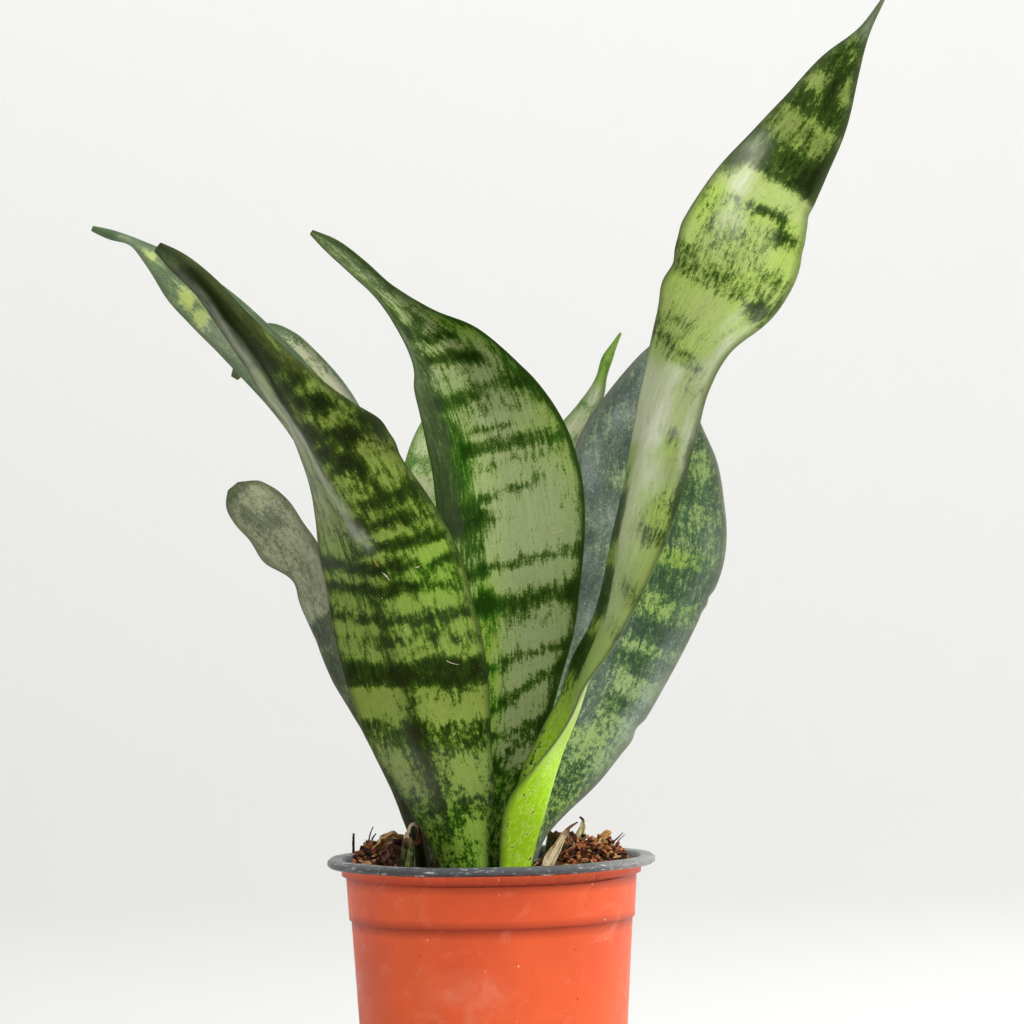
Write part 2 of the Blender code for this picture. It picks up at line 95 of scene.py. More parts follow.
def ramp(tree, factor, stops):
    node = add(tree, "ValToRGB", {0: factor})
    line = node.color_ramp
    while len(line.elements) < len(stops):
        line.elements.new(0.5)
    for element, (at, shade) in zip(line.elements, stops):
        element.position = at
        element.color = shade if isinstance(shade, tuple) else (shade, shade, shade, 1)
    return node.outputs["Color"]


def blend(tree, factor, a, b, mode="MIX"):
    node = add(tree, "Mix", {0: factor, 6: a, 7: b}, data_type="RGBA", blend_type=mode)
    return node.outputs[2]


def over(tree, skin, field, stops, shade):
    # a shade laid over the skin where a field passes the stops
    return blend(tree, ramp(tree, field, stops), skin, shade)


def grain(tree, place, stretch, seed=0.0, detail=3.0, roughness=0.55, distortion=0.0):
    # noise whose features are stretched by so much along each axis
    spot = add(tree, "VectorMath", {0: place, 1: stretch, 2: (seed, seed * 1.7, seed * 0.6)},
               operation="MULTIPLY_ADD").outputs[0]
    return add(tree, "TexNoise", {"Vector": spot, "Scale": 1.0, "Detail": detail,
                                  "Roughness": roughness, "Distortion": distortion}).outputs[0]


def grains(tree, place, table, seed=0):
    # several noises at once, from a table of stretch, seed and the rest
    return [grain(tree, place, stretch, seed + step, *rest) for stretch, step, *rest in table.values()]


def cracks(tree, place, stretch, seed):
    # a ragged net of joined lines
    spot = add(tree, "VectorMath", {0: place, 1: stretch, 2: (seed, seed * 1.3, 0)},
               operation="MULTIPLY_ADD").outputs[0]
    wander = add(tree, "TexNoise", {"Vector": spot, "Scale": 2.2, "Detail": 5.0}).outputs[1]
    moved = add(tree, "VectorMath", {0: wander, 1: (1.1, 1.1, 0), 2: spot},
                operation="MULTIPLY_ADD").outputs[0]
    cells = add(tree, "TexVoronoi", {"Vector": moved, "Scale": 1.0}, feature="DISTANCE_TO_EDGE").outputs[0]
    return ramp(tree, cells, [(0.0, 1.0), (0.16, 0.0)])


def bump(tree, shader, height, strength, distance):
    node = add(tree, "Bump", {"Height": height, "Strength": strength, "Distance": distance})
    tree.links.new(node.outputs[0], shader.inputs["Normal"])


def objectPlace(tree):
    return add(tree, "TexCoord").outputs["Object"]


def linked(name, data):
    made = bpy.data.objects.new(name, data)
    bpy.context.scene.collection.objects.link(made)
    return made


def meshOf(name, spots, edges, faces, finish=None):
    mesh = bpy.data.meshes.new(name)
    mesh.from_pydata(spots, edges, faces)
    if finish:
        mesh.materials.append(finish)
    return linked(name, mesh)


def only(made):
    bpy.ops.object.select_all(action="DESELECT")
    bpy.context.view_layer.objects.active = made
    made.select_set(True)


def weld(distance):
    # merges points of the active mesh and turns its faces out; it has to be in edit mode
    bpy.ops.mesh.select_all(action="SELECT")
    bpy.ops.mesh.remove_doubles(threshold=distance)
    bpy.ops.mesh.normals_make_consistent(inside=False)
    bpy.ops.object.mode_set(mode="OBJECT")


def placed(made, node=None):
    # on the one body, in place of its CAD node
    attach(made, "root")
    if node:
        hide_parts(node)


skinGrain = {
    # stretch across and along the blade, step of the seed, detail, roughness and distortion
    "teeth": ((760, 130, 0), 0, 5.0, 0.66),
    "blots": ((560, 420, 0), 3, 5.0, 0.7),
    "fine": ((2300, 1300, 0), 5, 3.0, 0.6),
    "slow": ((90, 45, 0), 7, 2.0),
    "streaks": ((1500, 26, 0), 9, 2.0),
    "dust": ((1300, 1300, 0), 11, 2.0),
    "patchy": ((420, 110, 0), 13, 5.0, 0.7),
    "curl": ((330, 330, 0), 15, 3.0, 0.6, 1.6),
}


def leafFinish(name, look, seed):
    made, tree, shader = newFinish(name, 0.4, look["gloss"], (0.85, 0.95, 0.25, 1))
    blade = add(tree, "Attribute", attribute_name="blade").outputs["Vector"]
    growth = add(tree, "Attribute", attribute_name="growth")
    level, tone, bloomAndSheen = add(tree, "SeparateColor", {0: growth.outputs["Color"]}).outputs[:3]
    _, along, margin = add(tree, "SeparateXYZ", {0: blade}).outputs[:3]
    teeth, blots, fine, slow, streaks, dust, patchy, curl = grains(tree, blade, skinGrain, seed)
    speckle = ramp(tree, along, [(0.045, 1.5), (0.095, 0.0)])
    for field, reach in ((blots, speckle), (teeth, look["teeth"]), (blots, look["mottle"]),
                         (fine, look["fine"]), (slow, 0.25)):
        level = fused(tree, sums(tree, "SUBTRACT", field, 0.5), reach, level)
    level = fused(tree, cracks(tree, blade, (120, 75, 0), seed), look["net"], level)
    toned = fused(tree, sums(tree, "SUBTRACT", slow, 0.5), 0.6, tone)
    stops = (0.1, 0.36, 0.5, 0.66, 1.0)
    cool, warm = (ramp(tree, level, list(zip(stops, (look[key][0], *look[key])))) for key in ("cool", "warm"))
    skin = blend(tree, toned, cool, warm)
    for field, tones in ((streaks, [(0.25, 0.88), (0.5, 1.0), (0.75, 1.08)]),
                         (blots, [(0.3, 0.86), (0.5, 1.0), (0.7, 1.1)])):
        skin = blend(tree, 1.0, skin, ramp(tree, field, tones), "MULTIPLY")
    skin = over(tree, skin, dust, [(0.72, 0.0), (0.76, 0.6)], look["bloomAndSheen"])
    # whitish bloom together with painted sheen, broken up by the patchy noise
    broken = times(tree, bloomAndSheen, ramp(tree, patchy, [(0.3, 0.35), (0.7, 1.0)]))
    skin = blend(tree, broken, skin, look["bloomAndSheen"])
    lines = ramp(tree, past(tree, curl, 0.5), [(0.0, 1.0), (0.012, 0.0)])
    skin = blend(tree, times(tree, lines, times(tree, bloomAndSheen, look["scribble"])), skin, paint(206, 210, 204))
    # painted shade: the alpha of growth, the leaf's shade layer, darkens the skin towards near black green
    skin = blend(tree, growth.outputs["Alpha"], skin, paint(14, 24, 6))
    edge = times(tree, ramp(tree, margin, [(0.0, 0.9), (0.0003, 0.8), (0.0008, 0.0)]), 0.9)
    tree.links.new(blend(tree, edge, skin, look["margin"]), shader.inputs["Base Color"])
    gloss = ramp(tree, blots, [(0.3, look["rough"] - 0.06), (0.7, look["rough"] + 0.08)])
    tree.links.new(fused(tree, bloomAndSheen, 0.12, gloss), shader.inputs["Roughness"])
    bump(tree, shader, fused(tree, blots, 0.35, streaks), 0.3, 0.00022)
    return made


rimTop = 116.5
lean = 0.0157
fullShell = 8.0
plainZone = (0, 0, 0, 0, -2, 2)
plainBand = (0, -2, 2)


def leaned(points):
    # the whole rosette leans a little, about the middle of the rim
    moved = np.array(points, float)
    moved[:, 0] += (moved[:, 2] - rimTop) * lean
    moved[:, 2] -= np.array(points, float)[:, 0] * lean
    return moved


def smoothStations(stations, count):
    # a smooth curve through the stations, sampled evenly along the midrib
    given = np.array(stations, float)
    given[:, :3] = leaned(given[:, :3])
    steps = np.linalg.norm(np.diff(given[:, :3], axis=0), axis=1)
    at = np.concatenate([[0], np.cumsum(steps)]) / steps.sum()
    chord = (given[1:] - given[:-1]) / np.diff(at)[:, None]
    before, after = np.diff(at)[:-1, None], np.diff(at)[1:, None]
    slope = np.vstack([chord[:1], (chord[1:] * before + chord[:-1] * after) / (before + after), chord[-1:]])
    wanted = np.linspace(0, 1, count)
    i = np.clip(np.searchsorted(at, wanted, side="right") - 1, 0, len(at) - 2)
    span = (at[i + 1] - at[i])[:, None]
    f = (wanted - at[i])[:, None] / span
    start = (2 * f**3 - 3 * f**2 + 1) * given[i] + (f**3 - 2 * f**2 + f) * span * slope[i]
    return start + (3 * f**2 - 2 * f**3) * given[i + 1] + (f**3 - f**2) * span * slope[i + 1], steps.sum()


def softStep(x, low, high):
    t = np.clip((x - low) / (high - low), 0, 1)
    return t * t * (3 - 2 * t)


def window(x, low, high, soft):
    return softStep(x, low - soft, low + soft) * (1 - softStep(x, high - soft, high + soft))


def leafSurface(leaf, rows, half):
    # the leaf's middle surface in millimetres, with its place on the blade: v along, s across
    rib, length = smoothStations(leaf["stations"], rows)
    along = np.gradient(rib[:, :3], axis=0)
    along /= np.linalg.norm(along, axis=1)[:, None]
    front = np.array([0.0, -1.0, 0.0])
    front = front - (along @ front)[:, None] * along
    front /= np.linalg.norm(front, axis=1)[:, None]
    right = np.cross(along, front)
    v = np.linspace(0, 1, rows)
    points = np.zeros((rows, 2 * half + 1, 3))
    wide = np.zeros((rows, 2 * half + 1))
    points[:, half] = rib[:, :3]
    fine, keelWidth, narrowest, liftFrom = 3, 3.0, 0.3, 0.35
    turn, cup, fold = (np.radians(rib[:, c]) for c in (5, 6, 7))
    for side, column in ((1, 4), (-1, 3)):
        width = np.maximum(rib[:, column], narrowest)
        outward, lift = np.zeros(rows), np.zeros(rows)
        for edge, at, reach, out, up in leaf.get("edges", ()):
            if edge == side:
                shape = np.exp(-((v - at) / reach) ** 2)
                outward += out * shape
                lift += up * shape
        spot = rib[:, :3].copy()
        keel = np.maximum(0.16, keelWidth / width)
        reachOut = width + outward
        for step in range(half * fine):
            s = side * (step + 0.5) / (half * fine)
            angle = turn + cup * s + fold * np.tanh(s / keel)
            way = right * np.cos(angle)[:, None] + front * np.sin(angle)[:, None]
            spot = spot + side * (reachOut / (half * fine))[:, None] * way
            if (step + 1) % fine == 0:
                column = half + side * (step + 1) // fine
                raised = front * np.cos(angle)[:, None] - right * np.sin(angle)[:, None]
                share = max(abs(s) - liftFrom, 0) / (1 - liftFrom)
                points[:, column] = spot + raised * (lift * share**2)[:, None]
                wide[:, column] = side * reachOut * (step + 1) / (half * fine)
    return points, wide, v, length


def pattern(leaf, v, s, seed):
    # how dark and vivid the skin is, its bloom with painted sheen and its painted shade,
    # from the leaf's zones, bands and patches
    def wavy(across, along, own):
        return np.array([[noise.noise(Vector((b * across, a * along, own))) for b in s[0]] for a in v[:, 0]])

    wobble, ripple = wavy(2.2, 26, seed), wavy(9, 40, seed + 5)
    at = v - leaf.get("tilt", 0) * s + 0.006 * wobble + 0.003 * ripple
    aside = s + 0.16 * ripple + 0.08 * wobble
    layers = [np.full(v.shape, float(value)) for value in leaf["base"]]
    for low, high, *given in leaf.get("zones", ()):
        *values, left, right = (*given, *plainZone[len(given):])
        share = window(at, low, high, 0.006) * window(aside, left, right, 0.12)
        for layer, value in zip(layers, values):
            layer += (value - layer) * share
    for centre, reach, strength, *given in leaf.get("bands", ()):
        slope, left, right = (*given, *plainBand[len(given):])
        share = np.exp(-((at - centre - slope * s) / reach) ** 2)
        layers[0] += strength * share * window(s, left, right, 0.12)
    for layer, kind in zip(layers, ("dark", "vivid", "bloomAndSheen", "shade")):
        for centre, across, tall, wide, strength, *tilt in leaf.get(kind, ()):
            off = s - across - sum(tilt) * (v - centre) + 0.06 * ripple
            layer += strength * np.exp(-((v + 0.004 * wobble - centre) / tall) ** 2 - (off / wide) ** 2)
    return [np.clip(layer, 0, 1.3) for layer in layers]


def growLeaf(name, leaf, finish, seed, rows=110, half=13):
    points, wide, along, length = leafSurface(leaf, rows, half)
    across = 2 * half + 1
    s = np.tile(np.linspace(-1, 1, across), (rows, 1))
    v = np.tile(along[:, None], (1, across))
    layers = pattern(leaf, v, s, seed) if "base" in leaf else [v, 0 * v, 0 * v, 0 * v]
    layers = np.stack(layers, -1)
    bpy.ops.mesh.primitive_grid_add(x_subdivisions=across - 1, y_subdivisions=rows - 1, size=1)
    made = bpy.context.object
    mesh = made.data
    made.name = mesh.name = name
    corners = [vertex.co.copy() for vertex in mesh.vertices]
    order = sorted(range(rows * across), key=lambda n: (round(corners[n].y, 5), round(corners[n].x, 5)))
    weights = made.vertex_groups.new(name="thickness")
    normal = np.cross(np.gradient(points, axis=1), np.gradient(points, axis=0))
    normal /= np.maximum(np.linalg.norm(normal, axis=2), 1e-9)[..., None]
    blade, growth, places = (np.zeros((rows * across, n)) for n in (3, 4, 3))
    thin = leaf.get("rim", 0.75)
    for number, index in enumerate(order):
        row, column = divmod(number, across)
        spot, up, out, reach = Vector(points[row, column]), v[row, column], s[row, column], wide[row, column]
        sway = noise.noise(spot * 0.05 + Vector((seed, 0, 0))) * 0.5
        sway += noise.noise(spot * 0.16 + Vector((0, seed, 0))) * 0.22
        flute = 0.06 * math.sin(reach * 2.1 + seed) * (1 - abs(out)) ** 0.5
        settle = min(up * 6, 1) * min((1 - up) * 6, 1)
        spot += Vector(normal[row, column]) * (sway + flute) * settle
        if "crumple" in leaf:
            spot += noise.noise_vector(spot * 0.42 + Vector((seed, seed, 0))) * leaf["crumple"]
            torn = noise.noise(Vector((out * 3.1, seed, 0))) + 0.6 * noise.noise(Vector((out * 9, seed, 4)))
            spot.z += leaf["ragged"] * torn * max(up - 0.55, 0) / 0.45
        body = leaf["thick"] * (1 - 0.55 * up)
        here = thin + max(body - thin, 0) * (1 - abs(out) ** 1.6)
        weights.add([index], min(here / fullShell, 1.0), "REPLACE")
        places[index] = spot * mm
        rimWidth = abs(wide[row, 0 if column < half else -1])
        blade[index] = (reach * mm, up * length * mm, max(rimWidth - abs(reach), 0) * mm)
        growth[index] = layers[row, column]
    mesh.vertices.foreach_set("co", places.ravel())
    mesh.attributes.new("blade", "FLOAT_VECTOR", "POINT").data.foreach_set("vector", blade.ravel())
    mesh.attributes.new("growth", "FLOAT_COLOR", "POINT").data.foreach_set("color", growth.ravel())
    shell = made.modifiers.new("Thickness", "SOLIDIFY")
    shell.thickness, shell.offset, shell.use_even_offset = fullShell * mm, 0, False
    shell.vertex_group, shell.thickness_vertex_group = "thickness", 0
    rounding = made.modifiers.new("Rounding", "SUBSURF")
    rounding.levels = rounding.render_levels = 1
    bpy.ops.object.modifier_apply(modifier="Thickness")
    bpy.ops.object.modifier_apply(modifier="Rounding")
    bpy.ops.object.shade_smooth()
    made.data.materials.clear()
    made.data.materials.append(finish)
    made.select_set(False)
    return made


# Stations are x, y, z, width left and right of the midrib, then turn, cupping and fold in degrees.
# Edges are side, at, reach, outward and lift. Zones are low and high, then dark, vivid, bloomAndSheen and
# shade, then left and right; bloomAndSheen is whitish bloom together with painted sheen, and shade is painted
# shade.
# Bands are at, reach, strength, slope, left and right. Dark, vivid, bloomAndSheen and shade are patches:
# at, across, tall, wide, strength and tilt. Along is 0 to 1 and across is -1 to 1.
leafFrontLeft = {
    "stations": [
        (-11, -19, 96, 10, 10, 0, -30, -10), (-11, -19, 113, 11, 11, 0, -30, -10),
        (-15.5, -22, 140, 19, 19, 0, -28, -8), (-23, -25, 164, 26, 26, 0, -25, -8),
        (-30, -29, 190, 30, 30, 5, -20, -8), (-36, -33, 210, 31, 31, 12, -15, -12),
        (-41.5, -37, 226, 32, 32, 20, -10, -20), (-48.5, -41, 242, 31, 31, 25, -6, -26),
        (-56, -45, 258, 27, 28, 30, -4, -32), (-65, -49, 275, 22, 24.5, 35, 0, -36),
        (-74.5, -52, 291, 17, 18, 35, 0, -36), (-82, -54, 303, 13, 13.5, 20, 0, -38),
        (-90.4, -56, 315.7, 10, 10, 8, 0, -42), (-100.4, -57, 328, 7.5, 7.5, 8, 0, -42),
        (-111.4, -57, 342, 5.5, 5.5, 5, 0, -40), (-122, -56, 351.3, 4.5, 4.5, 5, 0, -40),
        (-129.5, -55, 357.2, 2, 2, 5, 0, -30),
    ],
    "thick": 3.4, "tilt": -0.023, "base": (0.34, 0.35, 0, 0),
    "edges": [
        (1, 0.69, 0.02, 1, 0.5), (1, 0.652, 0.024, 3.5, 1.5), (1, 0.62, 0.012, 1.5, 2.5),
        (-1, 0.2, 0.02, -1, 0),
    ],
    "zones": [
        (-0.1, 0.125, 0.34, 0.9), (0.125, 0.15, 0.46, 0.6), (0.15, 0.224, 0.38, 0.3, 0.06),
        (0.222, 0.262, 0.55, 0.3), (0.262, 0.309, 0.1, 0.2), (0.309, 0.346, 0.8, 0.45, 0, 0.06),
        (0.346, 0.43, 0.3, 0.35, 0.02), (0.52, 0.63, 0.36, 0.2, 0, 0.05),
        (0.63, 0.78, 0.34, 0.12, 0, 0.08), (0.78, 0.86, 0.6, 0.1, 0, 0.15),
        (0.86, 1.1, 0.8, 0.1, 0, 0.3), (0.955, 1.1, 0.6, 0.2, 0.08, 0.15),
    ],
    "bands": [
        (0.405, 0.0065, 0.45, 0, -2, 0.95), (0.446, 0.0075, 0.5, 0, -2, 0.9),
        (0.48, 0.009, 0.55, 0, -2, 0.5), (0.477, 0.005, 0.5, 0, 0.6, 1),
        (0.509, 0.007, 0.5, 0, -0.2, 0.95), (0.54, 0.009, 0.5, 0, -0.1, 0.7),
        (0.57, 0.008, 0.4, 0, 0.1, 0.8), (0.375, 0.006, 0.2),
    ],
    "dark": [
        (0.2, -0.22, 0.1, 0.13, 0.4), (0.285, 0.55, 0.02, 0.4, 0.28), (0.285, -0.12, 0.03, 0.09, 0.3),
        (0.38, -0.2, 0.12, 0.09, 0.2), (0.4, 0.33, 0.055, 0.02, 0.6, -1.4),
        (0.108, 0.5, 0.012, 0.26, -0.25), (0.175, 0.5, 0.016, 0.28, -0.25),
        (0.2, -0.66, 0.02, 0.2, -0.25), (0.1, -0.6, 0.08, 0.3, 0.2), (0.05, 0.75, 0.05, 0.12, -0.2),
        (0.142, 0.45, 0.008, 0.35, 0.25), (0.428, 0.6, 0.01, 0.25, -0.3),
        (0.475, 0.65, 0.009, 0.2, -0.3), (0.52, 0.3, 0.008, 0.15, -0.3), (0.575, 0.45, 0.014, 0.06, 0.5),
        (0.61, 0.4, 0.012, 0.1, 0.7), (0.627, 0.25, 0.009, 0.14, 0.8), (0.648, 0.06, 0.008, 0.13, 0.8),
        (0.655, 0.5, 0.011, 0.16, 0.8), (0.642, 0.38, 0.008, 0.05, 0.5), (0.668, 0.22, 0.007, 0.2, 0.6),
        (0.685, 0.04, 0.009, 0.12, 0.7), (0.71, 0.55, 0.012, 0.2, 0.9), (0.725, 0.2, 0.009, 0.14, 0.7),
        (0.75, 0.12, 0.01, 0.1, 0.7), (0.755, 0.5, 0.012, 0.2, 0.5), (0.785, 0.2, 0.014, 0.14, 0.6),
        (0.545, 0.9, 0.02, 0.14, 0.3), (0.86, 0.35, 0.1, 0.3, 0.4), (0.82, 0.8, 0.03, 0.2, -0.25),
        (0.76, -0.1, 0.12, 0.12, 0.4, 0.5), (0.652, 0.95, 0.02, 0.25, 0.5), (0.03, 0, 0.03, 0.3, -0.1),
    ],
    "vivid": [(0.08, 0.1, 0.09, 0.3, 0.5), (0.45, 0.65, 0.06, 0.35, 0.55)],
    "bloomAndSheen": [
        (0.2, -0.3, 0.07, 0.12, 0.1), (0.19, -0.7, 0.05, 0.3, 0.25), (0.62, -0.75, 0.09, 0.45, 0.45),
        (0.74, -0.65, 0.09, 0.5, 0.65), (0.88, -0.7, 0.1, 0.5, 0.7), (0.53, -0.06, 0.02, 0.07, 0.9, -3),
        (0.6, -0.2, 0.04, 0.08, 1.2, -2), (0.67, -0.26, 0.05, 0.08, 1.1, -0.6),
        (0.64, 0.9, 0.02, 0.12, 0.08),
    ],
    "shade": [
        (0.2, -0.24, 0.1, 0.13, 0.3), (0.36, -0.2, 0.09, 0.09, 0.35), (0.9, 0.5, 0.1, 0.4, 0.5),
        (0.62, -0.42, 0.1, 0.08, 0.3, -0.8), (0.76, -0.1, 0.12, 0.12, 0.7, 0.5),
        (0.88, 0, 0.07, 0.2, 0.5, 0.5), (0.652, 0.95, 0.022, 0.22, 0.6),
    ],
}
leafCentre = {
    "stations": [
        (-5, 5, 96, 10, 10, 0, 15, 12), (-4, 5, 112, 11, 10.5, 0, 15, 12),
        (1.5, 6, 138, 15, 13, -4, 12, 16), (4.5, 6, 162, 20, 17.5, -8, 10, 20),
        (5, 6, 183, 26, 22.5, -12, 8, 22), (4.5, 6, 203, 31, 29, -16, 8, 24),
        (3.5, 5, 223, 34, 33, -18, 8, 26), (2, 4, 243, 35, 36.5, -20, 8, 27),
        (-0.5, 3, 263, 35, 38, -22, 8, 28), (-4, 2, 283, 34, 35, -20, 8, 30),
        (-9, 1, 301, 31, 28, -14, 6, 34), (-16, 0, 317, 26, 19, -6, 4, 42),
        (-27, 0, 328, 15, 11, 0, 0, 52), (-41.5, 0, 341, 5.4, 5, 0, 0, 50),
        (-53.5, -1, 352, 4.6, 4.4, 0, 0, 50), (-63, -1, 360, 3.8, 3.4, 0, 0, 50),
        (-72, -1, 366, 1, 1, 0, 0, 30),
    ],
    "thick": 3.4, "base": (0.2, 0.1, 0, 0),
    "zones": [
        (-0.1, 0.19, 0.6, 0.9, 0, 0.1), (0.66, 0.72, 0.27, 0.1, 0, 0.08),
        (0.72, 0.8, 0.36, 0.05, 0, 0.14), (0.8, 0.86, 0.42, 0.15, 0.05, 0.1), (0.86, 1.1, 0.58, 0, 0.22),
        (0.42, 0.69, 0.45, 0.4, 0, 0, -2, -0.28), (0.5, 0.88, 0.74, 0.1, 0.08, 0.26, -2, -0.56),
        (0.2, 0.42, 0.36, 0.7, 0, 0, -2, -0.16),
    ],
    "bands": [
        (0.2, 0.012, 0.5, 0.045), (0.23, 0.0085, 0.5, 0.028), (0.276, 0.0085, 0.55, 0.05),
        (0.329, 0.008, 0.5, 0.025), (0.41, 0.012, 0.56, 0.01), (0.386, 0.016, 0.26, 0.01, -0.1, 0.7),
        (0.459, 0.007, 0.5, 0.013), (0.52, 0.014, 0.4, 0, -2, 0.05),
        (0.553, 0.006, 0.45, 0.02, -0.6, 0.5), (0.592, 0.007, 0.28, 0.01, -0.2, 0.9),
        (0.619, 0.009, 0.6, 0, -0.4, 0.9), (0.642, 0.006, 0.4, 0, -0.1, 0.45),
        (0.691, 0.01, 0.5, 0, -0.7, 0.2), (0.706, 0.006, 0.3, -0.02, 0, 0.95),
        (0.747, 0.008, 0.62, -0.03, -0.6, 0.6), (0.785, 0.007, 0.45, -0.03, -0.5, 0.5),
        (0.812, 0.007, 0.35, 0, -2, 0.3),
    ],
    "dark": [
        (0.635, -0.36, 0.03, 0.25, 0.3), (0.58, -0.48, 0.025, 0.2, 0.25), (0.53, -0.3, 0.02, 0.22, 0.3),
        (0.485, -0.42, 0.02, 0.16, 0.3), (0.41, -0.25, 0.018, 0.15, 0.4), (0.44, -0.25, 0.09, 0.05, 0.3),
        (0.29, 0, 0.045, 0.05, 0.3), (0.6, 1, 0.25, 0.05, 0.8), (0.42, 0.92, 0.02, 0.08, 0.5),
        (0.7, 0.72, 0.02, 0.13, 0.4), (0.68, 0.9, 0.04, 0.12, 0.4), (0.665, 0.1, 0.007, 0.12, 0.4),
        (0.663, 0.5, 0.006, 0.1, 0.35), (0.57, 0.55, 0.008, 0.1, 0.25), (0.26, 0.95, 0.08, 0.12, 0.6),
    ],
    "vivid": [
        (0.6, -0.35, 0.06, 0.3, 0.4), (0.41, -0.25, 0.03, 0.2, 1), (0.33, -0.2, 0.12, 0.2, 0.5),
        (0.62, 0.9, 0.2, 0.12, 0.4), (0.64, 0.8, 0.06, 0.25, 0.4), (0.775, 0.75, 0.045, 0.3, 0.9),
    ],
    "bloomAndSheen": [(0.84, -0.98, 0.14, 0.1, 1), (0.52, 0.55, 0.05, 0.35, 0.16)],
    "shade": [
        (0.66, -0.95, 0.12, 0.16, 0.3), (0.56, -0.85, 0.07, 0.25, 0.3), (0.25, 0.95, 0.07, 0.14, 0.5),
        (0.7, 0.3, 0.03, 0.8, 0.08), (0.64, -0.1, 0.05, 0.4, 0.1),
    ],
}
